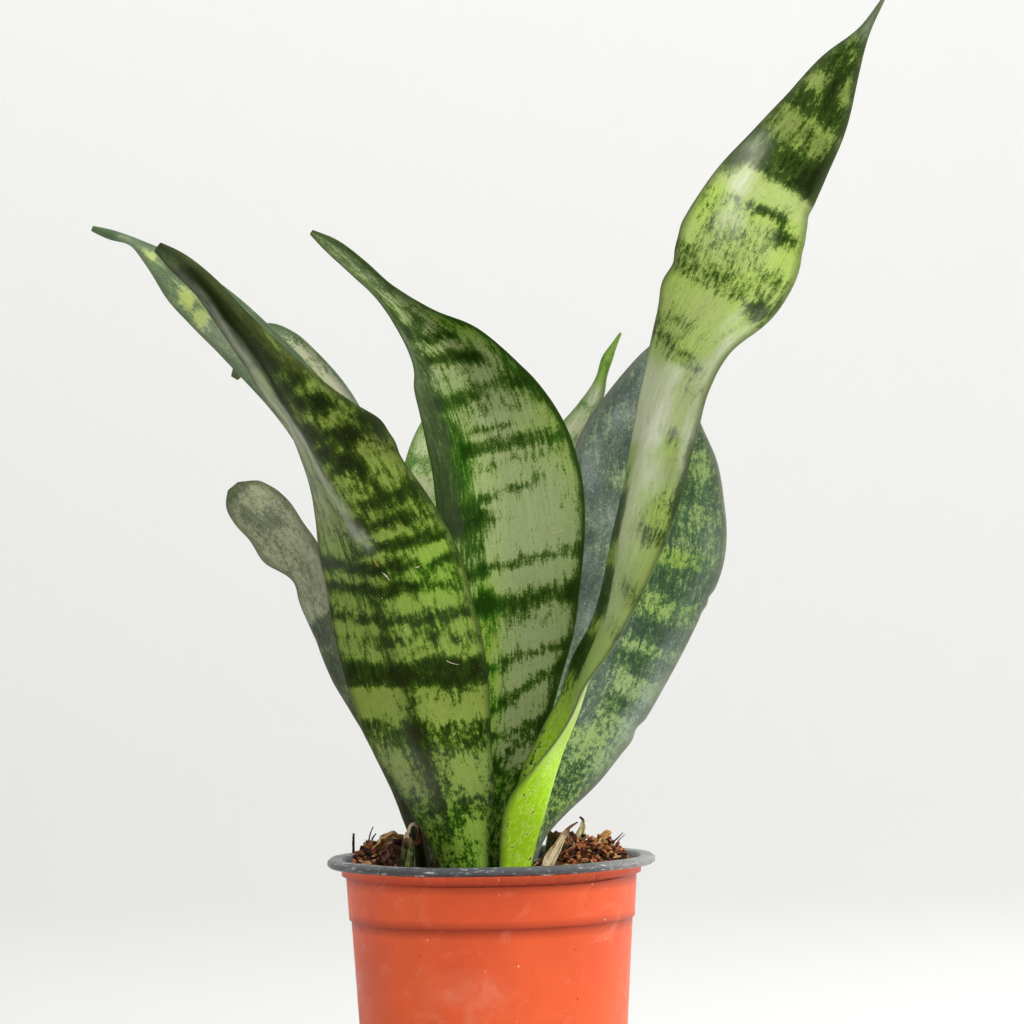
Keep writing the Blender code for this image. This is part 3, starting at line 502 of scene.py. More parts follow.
leafTallRight = {
    "stations": [
        (13.5, -5, 96, 9, 13, 85, 10, 60), (14.5, -6, 113, 10, 15, 84, 10, 60),
        (17, -8, 124, 12, 18, 84, 8, 58), (21.5, -12, 139, 15, 22, 82, 6, 54),
        (27, -16, 158.5, 18, 23, 83, 4, 26), (33, -20, 174, 21, 24, 82, 0, 14),
        (38, -22, 190, 22, 24, 80, 0, 10), (44.5, -25, 206, 23, 25, 77, 0, 2),
        (49, -26, 221, 24, 26, 74, 0, -4), (53.5, -27, 247, 26, 27, 67, 0, -15),
        (58, -27, 269, 26, 27, 64, 0, -20), (63.5, -26, 290, 26, 27, 62, 0, -16),
        (71, -25, 310, 25, 27, 60, 0, -9), (79.5, -24, 324, 24, 26.5, 51, 4, -1),
        (92, -22, 343, 25, 27, 26, 6, 2), (98.5, -21, 357, 26, 25.5, 10, 6, 2),
        (107.5, -20, 378, 22, 20.5, 0, 6, 2), (117.5, -19, 394, 18, 17.5, -4, 6, 0),
        (127.5, -18, 408.5, 15.4, 14, -4, 6, 0), (139, -16, 430, 9.2, 7.8, 0, 6, 0),
        (148.5, -15, 445, 2.6, 2.2, 0, 0, 0), (156, -15, 458, 0.7, 0.7, 0, 0, 0),
    ],
    "thick": 3.4, "base": (0.2, 0.15, 0, 0),
    "edges": [
        (-1, 0.693, 0.005, -1.5, 0), (-1, 0.668, 0.012, -1.6, 0), (-1, 0.638, 0.014, 2, 0),
        (1, 0.722, 0.0035, -1.3, 0), (1, 0.772, 0.004, -1, 0),
    ],
    "zones": [
        (-0.1, 0.15, 0.16, 1.3), (0.15, 0.18, 0.22, 1), (0.18, 0.21, 0.3, 0.8),
        (0.21, 0.33, 0.28, 0.4, 0.25, 0, -0.1, 2), (0.21, 0.24, 0.5, 0.8, 0, 0.1, -2, -0.2),
        (0.24, 0.285, 0.8, 0.7, 0, 0.2, -2, -0.12), (0.285, 0.305, 0.6, 0.7, 0, 0, -2, -0.3),
        (0.305, 0.365, 0.78, 0.7, 0, 0.2, -2, -0.06), (0.365, 0.385, 0.5, 0.7, 0, 0, -2, -0.3),
        (0.385, 0.44, 0.8, 0.6, 0, 0.2, -2, -0.12), (0.44, 0.47, 0.55, 0.5, 0, 0, -2, -0.4),
        (0.42, 0.45, 0.4, 0.3, 0, 0, 0.3, 2), (0.49, 0.57, 0.04, 0, 0.75, 0, -2, 0.35),
        (0.5, 0.59, 0.2, 0.1, 0.35, 0, 0.35, 2), (0.6, 0.645, 0.24, 0.1, 0.05), (0.655, 0.69, 0.4, 0.1),
        (0.69, 0.74, 0.4, 0.05, 0.08, 0, -0.65, 0.5), (0.757, 0.783, 0.14, 0, 0.1),
        (0.783, 0.822, 0.7, 0, 0, 0.12), (0.822, 0.856, 0.5, 0.1, 0, 0.5),
        (0.856, 0.886, 0.74, 0.3, 0, 0.4), (0.886, 0.906, 0.62, 0.1, 0, 0.45),
        (0.906, 0.93, 0.74, 0.2, 0, 0.45), (0.93, 0.955, 0.55, 0.1, 0, 0.4),
        (0.955, 1.1, 0.7, 0, 0.45, 0.1),
    ],
    "bands": [
        (0.672, 0.007, 0.12, -0.012, -2, 0.45), (0.753, 0.0055, 0.62, 0.008, -0.6, 0.5),
        (0.585, 0.011, 0.4, -0.012, -2, 0.75), (0.51, 0.012, 0.35, -0.01, -0.2, 0.75),
        (0.408, 0.012, 0.36, -0.01, 0.15, 2), (0.35, 0.01, 0.3, -0.01, 0.1, 2),
        (0.31, 0.01, 0.25, -0.01, 0.1, 2), (0.555, 0.008, 0.25, 0, 0.2, 0.9),
        (0.615, 0.007, 0.25, 0, -2, 0),
    ],
    "dark": [
        (0.742, 0.56, 0.016, 0.12, 0.55), (0.732, 0.76, 0.009, 0.22, 0.55),
        (0.778, -0.85, 0.014, 0.2, 0.6), (0.745, -0.8, 0.008, 0.2, 0.3),
        (0.712, -0.66, 0.012, 0.08, 0.3), (0.69, -0.85, 0.01, 0.2, 0.22), (0.655, 0.75, 0.01, 0.2, 0.55),
        (0.693, 0.72, 0.007, 0.2, 0.4), (0.895, 0.05, 0.014, 0.12, 0.3),
        (0.897, -0.6, 0.007, 0.3, -0.34), (0.894, 0.7, 0.009, 0.2, -0.36),
        (0.84, -0.5, 0.01, 0.3, -0.25), (0.845, 0.55, 0.012, 0.25, -0.25), (0.83, 0.92, 0.02, 0.2, 0.4),
        (0.8, 0.75, 0.02, 0.3, 0.35), (0.668, -0.75, 0.008, 0.25, 0.14), (0.662, -0.1, 0.006, 0.5, 0.1),
        (0.47, 0.98, 0.05, 0.14, 0.6), (0.728, -0.8, 0.006, 0.2, 0.3), (0.14, -0.8, 0.05, 0.25, 0.25),
        (0.1, 0.5, 0.08, 0.3, 0.1),
    ],
    "vivid": [(0.74, -0.85, 0.02, 0.14, 0.12)],
    "bloomAndSheen": [
        (0.8, -0.75, 0.018, 0.25, 0.5), (0.77, -0.5, 0.016, 0.16, 0.9), (0.735, -0.35, 0.02, 0.22, 0.5),
        (0.61, 0.82, 0.035, 0.16, 0.7), (0.64, 0.5, 0.02, 0.1, 0.4), (0.5, 0.85, 0.04, 0.12, 0.7),
        (0.53, 0.3, 0.02, 0.12, 0.4), (0.46, 0.1, 0.06, 0.3, 0.8), (0.37, 0, 0.06, 0.15, 0.6),
        (0.38, 0.4, 0.03, 0.3, 0.35), (0.46, 0.45, 0.02, 0.3, 0.5), (0.33, 0.3, 0.02, 0.3, 0.4),
    ],
    "shade": [(0.8, 0.8, 0.02, 0.3, 0.6), (0.9, 0.4, 0.06, 0.8, 0.1), (0.465, 0.68, 0.018, 0.14, 0.3)],
}
leafBackRight = {
    "stations": [
        (13, 10, 96, 7, 7, -10, 15, 10), (15, 11, 112, 7, 7, -10, 15, 10),
        (23, 15, 138, 12, 11.5, -8, 15, 10), (34.5, 19, 158, 18, 16, -6, 15, 8),
        (44, 23, 178, 23, 20.5, -4, 15, 6), (51, 27, 198, 28, 25, -2, 15, 6),
        (57, 31, 218, 32, 29.5, 0, 15, 6), (62, 34, 239, 35, 34, 0, 15, 6),
        (62.5, 37, 259, 34, 33, 0, 15, 6), (63, 40, 283, 27.5, 27.5, 0, 15, 6),
        (65.5, 42, 297, 20, 20, 0, 15, 6), (70, 44, 311.5, 12.5, 13, 0, 15, 6),
        (76.5, 46, 323.5, 6.5, 7, 0, 10, 4), (81, 47, 332.5, 1.2, 1.2, 0, 0, 0),
    ],
    "thick": 3.2, "base": (0.58, 0.25, 0.12, 0),
    "edges": [
        (1, 0.1, 0.07, -4.5, 0), (1, 0.335, 0.006, -2, 0), (1, 0.31, 0.01, 0.8, 1.2),
        (1, 0.56, 0.004, -1.3, 0), (1, 0.535, 0.006, -0.7, 0),
    ],
    "zones": [
        (-0.1, 0.2, 0.52, 0.8, 0.05), (0.2, 0.25, 0.55, 0.5, 0.05), (0.25, 0.345, 0.36, 0.4, 0.1),
        (0.345, 0.372, 0.62, 0.5, 0.04), (0.372, 0.412, 0.33, 0.35, 0.08),
        (0.412, 0.448, 0.67, 0.4, 0.05), (0.448, 0.466, 0.4, 0.5, 0.05), (0.466, 0.503, 0.74, 0.2, 0.06),
        (0.503, 0.545, 0.46, 0.7, 0.04), (0.545, 0.592, 0.68, 0.4, 0.05),
        (0.592, 0.616, 0.42, 0.9, 0.05, 0, 0, 0.8), (0.63, 0.8, 0.62, 0.4, 0.1, 0, 0.2, 2),
        (0.3, 1.1, 0.62, 0, 0.26, 0, -2, 0),
    ],
    "dark": [
        (0.78, -0.3, 0.02, 0.2, 0.3), (0.7, -0.8, 0.02, 0.2, 0.35), (0.61, -0.75, 0.02, 0.2, 0.4),
        (0.52, -0.6, 0.03, 0.2, 0.35), (0.86, -0.7, 0.02, 0.3, 0.3), (0.725, -0.3, 0.014, 0.18, -0.3),
        (0.6, -0.5, 0.014, 0.16, -0.28), (0.745, 0.75, 0.03, 0.2, -0.25), (0.66, 0.7, 0.02, 0.25, -0.15),
        (0.82, -0.1, 0.02, 0.3, -0.15),
    ],
    "vivid": [(0.66, 0.6, 0.1, 0.4, 0.3)],
    "bloomAndSheen": [
        (0.82, -0.5, 0.03, 0.2, 0.5), (0.74, -0.72, 0.04, 0.16, 0.6), (0.66, -0.45, 0.03, 0.2, 0.4),
        (0.57, -0.7, 0.03, 0.16, 0.5), (0.47, -0.6, 0.03, 0.16, 0.4), (0.9, -0.2, 0.04, 0.4, 0.5),
        (0.4, 0.85, 0.12, 0.22, 0.65), (0.62, 0.85, 0.08, 0.2, 0.25), (0.3, 0.8, 0.06, 0.25, 0.4),
    ],
    "shade": [(0.58, -0.2, 0.3, 0.14, 0.1), (0.5, -0.8, 0.12, 0.25, 0.5)],
}
leafYoung = {
    "stations": [
        (4, 17, 96, 6, 6, 10, 20, 15), (5.5, 18, 112, 7, 7, 10, 20, 15),
        (8.5, 23, 162, 12, 12, 10, 15, 12), (11.5, 30, 202, 14, 14, 10, 15, 10),
        (17.5, 36, 234.5, 13, 13, 10, 15, 10), (26, 40, 267, 10, 10, 15, 12, 15),
        (33, 42, 283.5, 8, 8, 20, 10, 20), (39.5, 44, 295, 5.5, 5.5, 25, 10, 20),
        (43.5, 45, 303, 4, 4, 30, 10, 20), (45.5, 46, 310, 2.6, 2.6, 40, 10, 10),
        (47.5, 46, 317, 2.4, 2.4, 20, 10, 10), (50, 46, 322, 1.3, 1.3, 10, 0, 0),
        (53, 46, 327.5, 0.5, 0.5, 0, 0, 0),
    ],
    "thick": 2.6, "base": (0.3, 0.3, 0, 0),
    "zones": [(0.68, 0.9, 0.26, 0.1, 0.3), (0.9, 1.1, 0.3, 0.9)],
    "bands": [
        (0.3, 0.02, 0.3), (0.42, 0.02, 0.3), (0.55, 0.02, 0.3), (0.68, 0.015, 0.3), (0.8, 0.008, 0.3),
        (0.86, 0.01, 0.4),
    ],
}
leafBack = {
    "stations": [
        (-8, 24, 96, 7, 7, 0, 15, 12), (-9, 25, 112, 8, 8, 0, 15, 12),
        (-14.5, 29, 162, 13, 11, 0, 15, 10), (-19.5, 34, 202, 16, 13.5, 0, 15, 8),
        (-21.5, 38, 234.5, 17, 15, 0, 15, 8), (-23, 41, 259, 15.5, 14.5, 0, 15, 8),
        (-22.5, 42, 279, 11.5, 11.5, 0, 15, 8), (-20.5, 42, 291, 7.5, 7.5, 0, 12, 6),
        (-18, 42, 302, 1.5, 1.5, 0, 0, 0),
    ],
    "thick": 3.0, "base": (0.28, 0.3, 0.1, 0),
    "bands": [
        (0.3, 0.02, 0.35), (0.42, 0.02, 0.35), (0.55, 0.02, 0.35), (0.68, 0.015, 0.3),
        (0.76, 0.012, 0.3), (0.86, 0.014, 0.3),
    ],
    "dark": [(0.8, -0.9, 0.1, 0.2, 0.2)],
}
leafFarLeft = {
    "stations": [
        (-19, 12, 96, 7, 7, 0, -20, -12), (-20, 12.5, 112, 8, 8, 0, -20, -12),
        (-25, 14, 162, 14, 13, 0, -18, -10), (-33.5, 16, 202, 16, 15, 5, -15, -8),
        (-45, 20, 242, 16, 16, 10, -12, -8), (-59, 25, 272, 15, 15, 20, -10, -8),
        (-77, 29, 297, 14, 14, 26, -10, -8), (-97, 31, 319, 13, 13, 24, -10, -8),
        (-113.5, 31, 335.5, 12, 11.5, 20, -10, -6), (-126, 31, 347, 9.5, 9, 15, -10, -4),
        (-133, 30, 354, 6.5, 6.5, 10, -8, 0), (-139, 29, 359, 4, 4, 0, 0, 0),
        (-146, 28, 364, 1.8, 1.8, 0, 0, 0), (-154.5, 27, 366.5, 2.1, 2.1, 0, -20, -10),
        (-162, 26, 369, 1.1, 1.1, 0, 0, 0),
    ],
    "thick": 3.0, "base": (0.8, 0.3, 0.2, 0),
    "zones": [(0.945, 0.965, 0.6, 0.1, 0.3), (0.965, 1.1, 1, 0.1, 0, 0.45)],
    "bands": [(0.25, 0.02, -0.5), (0.4, 0.02, -0.5), (0.52, 0.02, -0.5), (0.65, 0.015, -0.5)],
    "dark": [
        (0.92, -0.05, 0.01, 0.4, -0.8), (0.85, -0.3, 0.011, 0.4, -0.85), (0.818, -0.4, 0.01, 0.4, -0.8),
        (0.77, -0.4, 0.03, 0.3, -0.15),
    ],
    "vivid": [(0.92, -0.05, 0.02, 0.6, 0.6), (0.83, -0.4, 0.03, 0.6, 0.7), (0.87, -0.2, 0.06, 0.8, 0.5)],
    "bloomAndSheen": [(0.79, -0.2, 0.03, 0.6, 0.3), (0.94, 0.3, 0.03, 0.6, 0.3)],
}
leafDrooping = {
    "stations": [
        (-14, 34, 96, 7, 7, 0, 15, 12), (-15, 35, 112, 8, 8, 0, 15, 12),
        (-25, 42, 161, 14, 14, 0, 12, 10), (-37.5, 50, 210, 17, 17, 0, 12, 8),
        (-50, 55, 250.5, 17, 17, 5, 10, 8), (-62, 59, 283.5, 14.5, 14.5, 8, 8, 6),
        (-71, 61, 302, 12, 12, 10, 6, 4), (-79.5, 62, 314, 10, 10, 10, 4, 4),
        (-87, 62, 322, 8.5, 8.5, 10, 0, 0), (-94, 61, 325, 7.5, 7.5, 10, 0, 0),
        (-99.5, 59, 320, 6, 6, 10, 0, 0), (-103, 57, 314, 3.5, 3.5, 5, 0, 0),
        (-106, 56, 309, 1.6, 1.6, 0, 0, 0),
    ],
    "thick": 3.0, "base": (0.72, 0.25, 0.3, 0),
    "zones": [(0.66, 0.9, 0.5, 0, 0.05, 0, 0.15, 2), (0.95, 1.1, 1.1, 0.1, 0, 0.35)],
    "bands": [(0.25, 0.02, -0.4), (0.4, 0.02, -0.4), (0.52, 0.02, -0.4), (0.62, 0.015, -0.3)],
    "dark": [
        (0.8, 0.65, 0.018, 0.25, -0.7), (0.765, 0.8, 0.018, 0.25, -0.7), (0.735, 0.6, 0.012, 0.3, -0.6),
        (0.87, 0.45, 0.01, 0.2, -0.7), (0.835, 0.4, 0.01, 0.2, -0.55), (0.7, 0.5, 0.015, 0.4, -0.4),
    ],
    "vivid": [(0.85, 0.4, 0.04, 0.5, 0.3)],
    "bloomAndSheen": [(0.87, 0.45, 0.008, 0.12, 1), (0.8, 0.3, 0.05, 0.12, 0.4), (0.78, 0.9, 0.05, 0.25, 0.5)],
    "shade": [(0.8, 1, 0.08, 0.06, 0.4)],
}
leafLowLeft = {
    "stations": [
        (-26, -4, 96, 7, 7, 50, 15, 20), (-26.5, -4, 112, 4.5, 8, 54, 15, 20),
        (-32, -2, 139, 8.5, 11, 62, 12, 15), (-45.8, 2, 171, 14, 14, 68, 8, 8),
        (-58.8, 5, 195, 15, 15, 68, 4, 4), (-70, 8, 217, 14, 14, 62, 0, 0),
        (-76, 9, 234, 12.5, 12, 40, 0, -4), (-83, 10, 243, 11.5, 11, 25, -4, -6),
        (-90, 11, 250.5, 11.5, 12, 15, -6, -8), (-97, 12, 257, 10.5, 11, 8, -6, -8),
        (-101.5, 12, 261.5, 7.5, 8, 5, -6, -6), (-104, 12, 264.5, 2.5, 2.5, 0, 0, 0),
    ],
    "thick": 3.0, "base": (0.7, 0.45, 0.08, 0.05),
    "edges": [(-1, 0.54, 0.1, 4.8, 0), (-1, 0.74, 0.03, -3, 0), (-1, 0.84, 0.04, 3.6, 0)],
    "zones": [
        # painted shade: the foot of this leaf is made near black, for the shaded gap beside the front leaf
        (-0.1, 0.24, 1.2, 0, 0, 0.7), (0.24, 0.66, 0.8, 0.4, 0, 0.15), (0.66, 1.1, 0.44, 0.1, 0.45),
        (0.975, 1.1, 0.6, 0.1, 0.3, 0.1),
    ],
    "bands": [(0.35, 0.02, -0.3), (0.5, 0.02, -0.3), (0.6, 0.012, -0.2)],
    "dark": [(0.89, 0.1, 0.02, 0.4, 0.35), (0.93, -0.4, 0.02, 0.3, 0.25), (0.95, 0.5, 0.02, 0.3, -0.2)],
    "bloomAndSheen": [(0.78, 0.6, 0.08, 0.3, 0.5), (0.86, -0.95, 0.1, 0.12, 0.5)],
}


def skinLook(gloss, rough, teeth, mottle, fine, net, scribble, bloomAndSheen, margin, cool, warm):
    return {"gloss": gloss, "rough": rough, "teeth": teeth, "mottle": mottle, "fine": fine, "net": net,
            "scribble": scribble, "bloomAndSheen": paint(*bloomAndSheen), "margin": paint(*margin),
            "cool": paints(cool), "warm": paints(warm)}


looks = {
    "front": skinLook(0.14, 0.38, 0.95, 0.62, 0.55, 0.2, 0.15, (184, 188, 170), (46, 58, 34),
                      [(124, 138, 66), (82, 96, 34), (36, 52, 11), (14, 22, 4)],
                      [(130, 164, 64), (82, 124, 30), (40, 76, 12), (18, 34, 5)]),
    "centre": skinLook(0.14, 0.36, 1.3, 0.9, 0.8, 0.08, 0.1, (186, 194, 166), (34, 62, 16),
                       [(156, 170, 120), (110, 128, 68), (54, 84, 26), (24, 44, 10)],
                       [(142, 168, 70), (86, 126, 38), (46, 92, 16), (26, 56, 8)]),
    "tall": skinLook(0.16, 0.34, 1.0, 0.8, 0.6, 0.1, 0.1, (224, 228, 204), (66, 78, 52),
                     [(170, 186, 108), (118, 140, 66), (58, 82, 30), (16, 30, 8)],
                     [(172, 226, 44), (218, 244, 116), (62, 104, 20), (24, 46, 8)]),
    "blue": skinLook(0.16, 0.42, 1.0, 1.3, 0.9, 0.15, 1.3, (156, 166, 166), (120, 124, 116),
                     [(162, 180, 132), (118, 140, 98), (64, 90, 66), (40, 58, 50)],
                     [(154, 180, 86), (108, 142, 64), (54, 92, 40), (32, 60, 28)]),
    "fresh": skinLook(0.16, 0.4, 0.9, 1.3, 1.0, 0.15, 0.1, (228, 230, 208), (92, 134, 60),
                      [(236, 238, 204), (202, 216, 154), (134, 170, 92), (72, 114, 46)],
                      [(186, 220, 98), (146, 190, 70), (96, 152, 46), (64, 114, 30)]),
    "sage": skinLook(0.18, 0.42, 1.2, 1.3, 0.9, 0.15, 0.15, (200, 204, 184), (86, 106, 78),
                     [(238, 230, 206), (184, 190, 152), (122, 144, 108), (84, 106, 78)],
                     [(196, 214, 110), (158, 180, 100), (108, 136, 88), (72, 100, 62)]),
    "low": skinLook(0.16, 0.42, 0.8, 1.4, 1.0, 0.15, 0.4, (168, 170, 148), (78, 84, 60),
                    [(156, 160, 126), (112, 122, 84), (60, 76, 44), (30, 42, 20)],
                    [(122, 142, 74), (84, 108, 48), (50, 78, 28), (26, 46, 12)]),
}

print("growing the leaves")
leaves = [
    ("leaf_front_left", leafFrontLeft, "front", 1.3), ("leaf_centre", leafCentre, "centre", 2.9),
    ("leaf_tall_right", leafTallRight, "tall", 4.1), ("leaf_back_right", leafBackRight, "blue", 5.7),
    ("leaf_young", leafYoung, "fresh", 7.2), ("leaf_back", leafBack, "fresh", 8.8),
    ("leaf_far_left", leafFarLeft, "sage", 10.1), ("leaf_drooping", leafDrooping, "sage", 11.9),
    ("leaf_low_left", leafLowLeft, "low", 13.4),
]
for name, leaf, look, seed in leaves:
    made = growLeaf(name + "_blade", leaf, leafFinish(name + " skin", looks[look], seed), seed)
    placed(made, name)
    print(name, len(made.data.polygons), "faces")

potShape = {
    # inside from the floor up, over the rolled rim, then down the outside: radius and height
    "profile": [
        (0, 1.3), (30.5, 1.3), (32.5, 4.8), (44, 4.8), (46, 2.6), (49.6, 3.4), (52.3, 50), (54.4, 91.2),
        (55.6, 93), (56.2, 108.2), (58.4, 110.4), (58.8, 114.2), (59.6, 116), (61.2, 116.5), (64, 116.4),
        (65.3, 115.4), (65.4, 113.9), (64.3, 113), (62.6, 113.2), (60.6, 113.4), (60, 112.8),
        (59.8, 111.4), (59.7, 109.7), (58, 109.2), (57, 92.2), (56.1, 91.6), (53.6, 50), (51.1, 2.4),
        (50.4, 0.4), (49.6, 0), (47, 0), (45.2, 0.4), (43.4, 3.4), (33, 3.4), (31, 0.2), (30, 0), (0, 0),
    ],
    "steps": 360, "stepShadowHeights": (108.9, 91.4), "paintedStepShadow": (150, 50, 32),
    "holes": 6, "holeRing": 38.2, "holeRadius": 3.7, "softEdge": 0.35,
    "creases": [(-2.35, 0.35), (-2.05, 0.3), (-1.86, 0.4), (-1.62, 0.3), (-1.5, 0.45), (-1.3, 0.3),
                (-1.12, 0.4), (-0.8, 0.3), (0.2, 0.4), (0.9, 0.3), (1.7, 0.4), (2.4, 0.3), (2.9, 0.35)],
    "neck": (109.5, 113.35), "rimFrom": 112.95,
    "smear": (-0.01, -0.053, 0.163),
}
blackGrain = {"wear": ((140, 140, 400), 2.0, 5.0, 0.7), "specks": ((900, 900, 900), 4.0, 2.0),
              "scuffs": ((160, 160, 900), 7.0, 6.0, 0.75)}
orangeGrain = {
    "slow": ((28, 28, 20), 1.0, 3.0), "smudge": ((55, 55, 70), 6.0, 6.0, 0.65, 0.6),
    "specks": ((620, 620, 620), 9.0, 2.0), "clumps": ((90, 90, 90), 12.0, 3.0),
    "fine": ((1900, 1900, 1900), 3.0, 2.0), "grime": ((800, 800, 800), 21.0, 2.0),
}


def blackPlastic(name):
    made, tree, shader = newFinish(name, 0.4, 0.5)
    place = objectPlace(tree)
    wear, specks, scuffs = grains(tree, place, blackGrain)
    side, _, height = add(tree, "SeparateXYZ", {0: place}).outputs[:3]
    # painted highlight: the top of the rolled rim, above about 115.6 mm, is made pale grey where it faces the
    # light above
    skin = over(tree, paint(24, 26, 29), height, [(0.1156, 0.0), (0.1165, 0.75)], paint(108, 112, 116))
    # painted light: the rim turns pale grey in patches of the wear noise, only towards the lit +x side
    litSidePatches = times(tree, ramp(tree, wear, [(0.35, 0.1), (0.6, 1.0)]),
                 ramp(tree, side, [(0.035, 0.06), (0.062, 0.9)]))
    skin = blend(tree, litSidePatches, skin, paint(150, 150, 146))
    skin = over(tree, skin, scuffs, [(0.57, 0.0), (0.62, 0.9)], paint(196, 196, 194))
    skin = over(tree, skin, specks, [(0.68, 0.0), (0.73, 0.8)], paint(196, 190, 178))
    tree.links.new(skin, shader.inputs["Base Color"])
    tree.links.new(ramp(tree, wear, [(0.3, 0.3), (0.7, 0.5)]), shader.inputs["Roughness"])
    bump(tree, shader, wear, 0.2, 0.0003)
    return made


def orangePlastic(name):
    made, tree, shader = newFinish(name, 0.42, 0.3, (1, 0.7, 0.5, 1))
    place, dusty = objectPlace(tree), paint(232, 150, 124)
    height = add(tree, "SeparateXYZ", {0: place}).outputs[2]
    slow, smudge, specks, clumps, fine, grime = grains(tree, place, orangeGrain)
    skin = over(tree, paint(228, 94, 52), slow, [(0.35, 0.0), (0.7, 1.0)], paint(208, 80, 44))
    # painted light: the band between the upper step and the rim is made a lighter orange than the body
    skin = over(tree, skin, height, [(0.1091, 0.0), (0.1096, 0.8)], paint(242, 100, 62))
    # painted shadow: a thin dark line just under each of the two steps in the wall
    for shadowHeight in potShape["stepShadowHeights"]:
        near = ramp(tree, past(tree, height, shadowHeight * mm), [(0.00018, 1.0), (0.0004, 0.0)])
        skin = blend(tree, times(tree, near, 0.9), skin, paint(*potShape["paintedStepShadow"]))
    skin = over(tree, skin, smudge, [(0.56, 0.0), (0.76, 0.36)], dusty)
    flat = add(tree, "VectorMath", {0: place, 1: (1, 1, 2.4)}, operation="MULTIPLY").outputs[0]
    away = add(tree, "VectorMath", {0: flat, 1: potShape["smear"]}, operation="DISTANCE").outputs["Value"]
    smear = times(tree, ramp(tree, away, [(0.008, 0.5), (0.022, 0.0)]),
                  ramp(tree, smudge, [(0.4, 0.2), (0.6, 1.0)]))
    skin = blend(tree, smear, skin, dusty)
    dots = fused(tree, clumps, 0.16, specks)
    skin = over(tree, skin, dots, [(0.835, 0.0), (0.86, 0.85)], paint(240, 214, 190))
    skin = over(tree, skin, grime, [(0.72, 0.0), (0.75, 0.7)], paint(84, 36, 24))
    tree.links.new(skin, shader.inputs["Base Color"])
    tree.links.new(ramp(tree, smudge, [(0.4, 0.36), (0.7, 0.56)]), shader.inputs["Roughness"])
    bump(tree, shader, fused(tree, slow, 2.0, fine), 0.12, 0.0003)
    return made


def spinProfile(name, spots, steps):
    # a line of radius and height spun round the Z axis, closed at the poles
    edges = [(n, n + 1) for n in range(len(spots) - 1)]
    made = meshOf(name, [(r * mm, 0, z * mm) for r, z in spots], edges, [])
    only(made)
    bpy.ops.object.mode_set(mode="EDIT")
    bpy.ops.mesh.select_all(action="SELECT")
    bpy.ops.mesh.spin(steps=steps, angle=2 * math.pi, center=(0, 0, 0), axis=(0, 0, 1))
    weld(0.00002)
    return made


def polar(radius, turn):
    return radius * math.cos(turn), radius * math.sin(turn)


def buildPot():
    shape = potShape
    pot = spinProfile("nursery_pot_shell", shape["profile"], shape["steps"])
    outerWall, neckRadius, creaseWidth = 49, 59, 1.1 / 60
    for vertex in pot.data.vertices:
        radius, height = math.hypot(vertex.co.x, vertex.co.y) / mm, vertex.co.z / mm
        turn = math.atan2(vertex.co.y, vertex.co.x)
        if radius < outerWall:
            continue
        high = min(max((height - 5) / 60, 0), 1)
        push = 0.22 * math.sin(2 * turn + 0.6) * high + 0.08 * math.sin(5 * turn + 1.1) * high
        if shape["neck"][0] < height < shape["neck"][1] and radius > neckRadius:
            for at, depth in shape["creases"]:
                push -= 2.2 * depth * math.exp(-((turn - at) / creaseWidth) ** 2)
        rise = min(max((height - 90) / 22, 0), 1)
        lift = (0.14 * math.sin(2 * turn + 1.9) + 0.08 * math.sin(7 * turn)) * rise
        vertex.co += Vector([c * mm for c in (*polar(push, turn), lift)])
    for number in range(shape["holes"]):
        turn = 2 * math.pi * (number + 0.37) / shape["holes"]
        spot = [c * mm for c in (*polar(shape["holeRing"], turn), 4)]
        bpy.ops.mesh.primitive_cylinder_add(
            vertices=32, radius=shape["holeRadius"] * mm, depth=8 * mm, location=spot)
        drill = bpy.context.object
        cut = pot.modifiers.new("Hole", "BOOLEAN")
        cut.operation, cut.solver, cut.object = "DIFFERENCE", "EXACT", drill
        bpy.context.view_layer.objects.active = pot
        bpy.ops.object.modifier_apply(modifier="Hole")
        bpy.data.objects.remove(drill, do_unlink=True)
    soft = pot.modifiers.new("Soft edges", "BEVEL")
    soft.limit_method, soft.angle_limit = "ANGLE", math.radians(22)
    soft.width, soft.segments = shape["softEdge"] * mm, 2
    bpy.context.view_layer.objects.active = pot
    bpy.ops.object.modifier_apply(modifier="Soft edges")
    mesh = pot.data
    mesh.materials.clear()
    mesh.materials.append(orangePlastic("pot orange skin"))
    mesh.materials.append(blackPlastic("pot black lining"))
    for face in mesh.polygons:
        radius, height = math.hypot(face.center.x, face.center.y) / mm, face.center.z / mm
        turn = math.atan2(face.center.y, face.center.x)
        inward = face.normal.x * math.cos(turn) + face.normal.y * math.sin(turn)
        rolled = height > shape["rimFrom"] and radius > 60.3 or height > 113.8
        lining = height > 1 and (inward < -0.3 or radius < 48 and face.normal.z > 0.2)
        face.material_index = 1 if rolled or lining and radius < 59.6 else 0
    pot.select_set(True)
    bpy.ops.object.shade_smooth_by_angle(angle=math.radians(35))
    pot.select_set(False)
    placed(pot, "nursery_pot")
    print("pot", len(mesh.polygons), "faces")


buildPot()

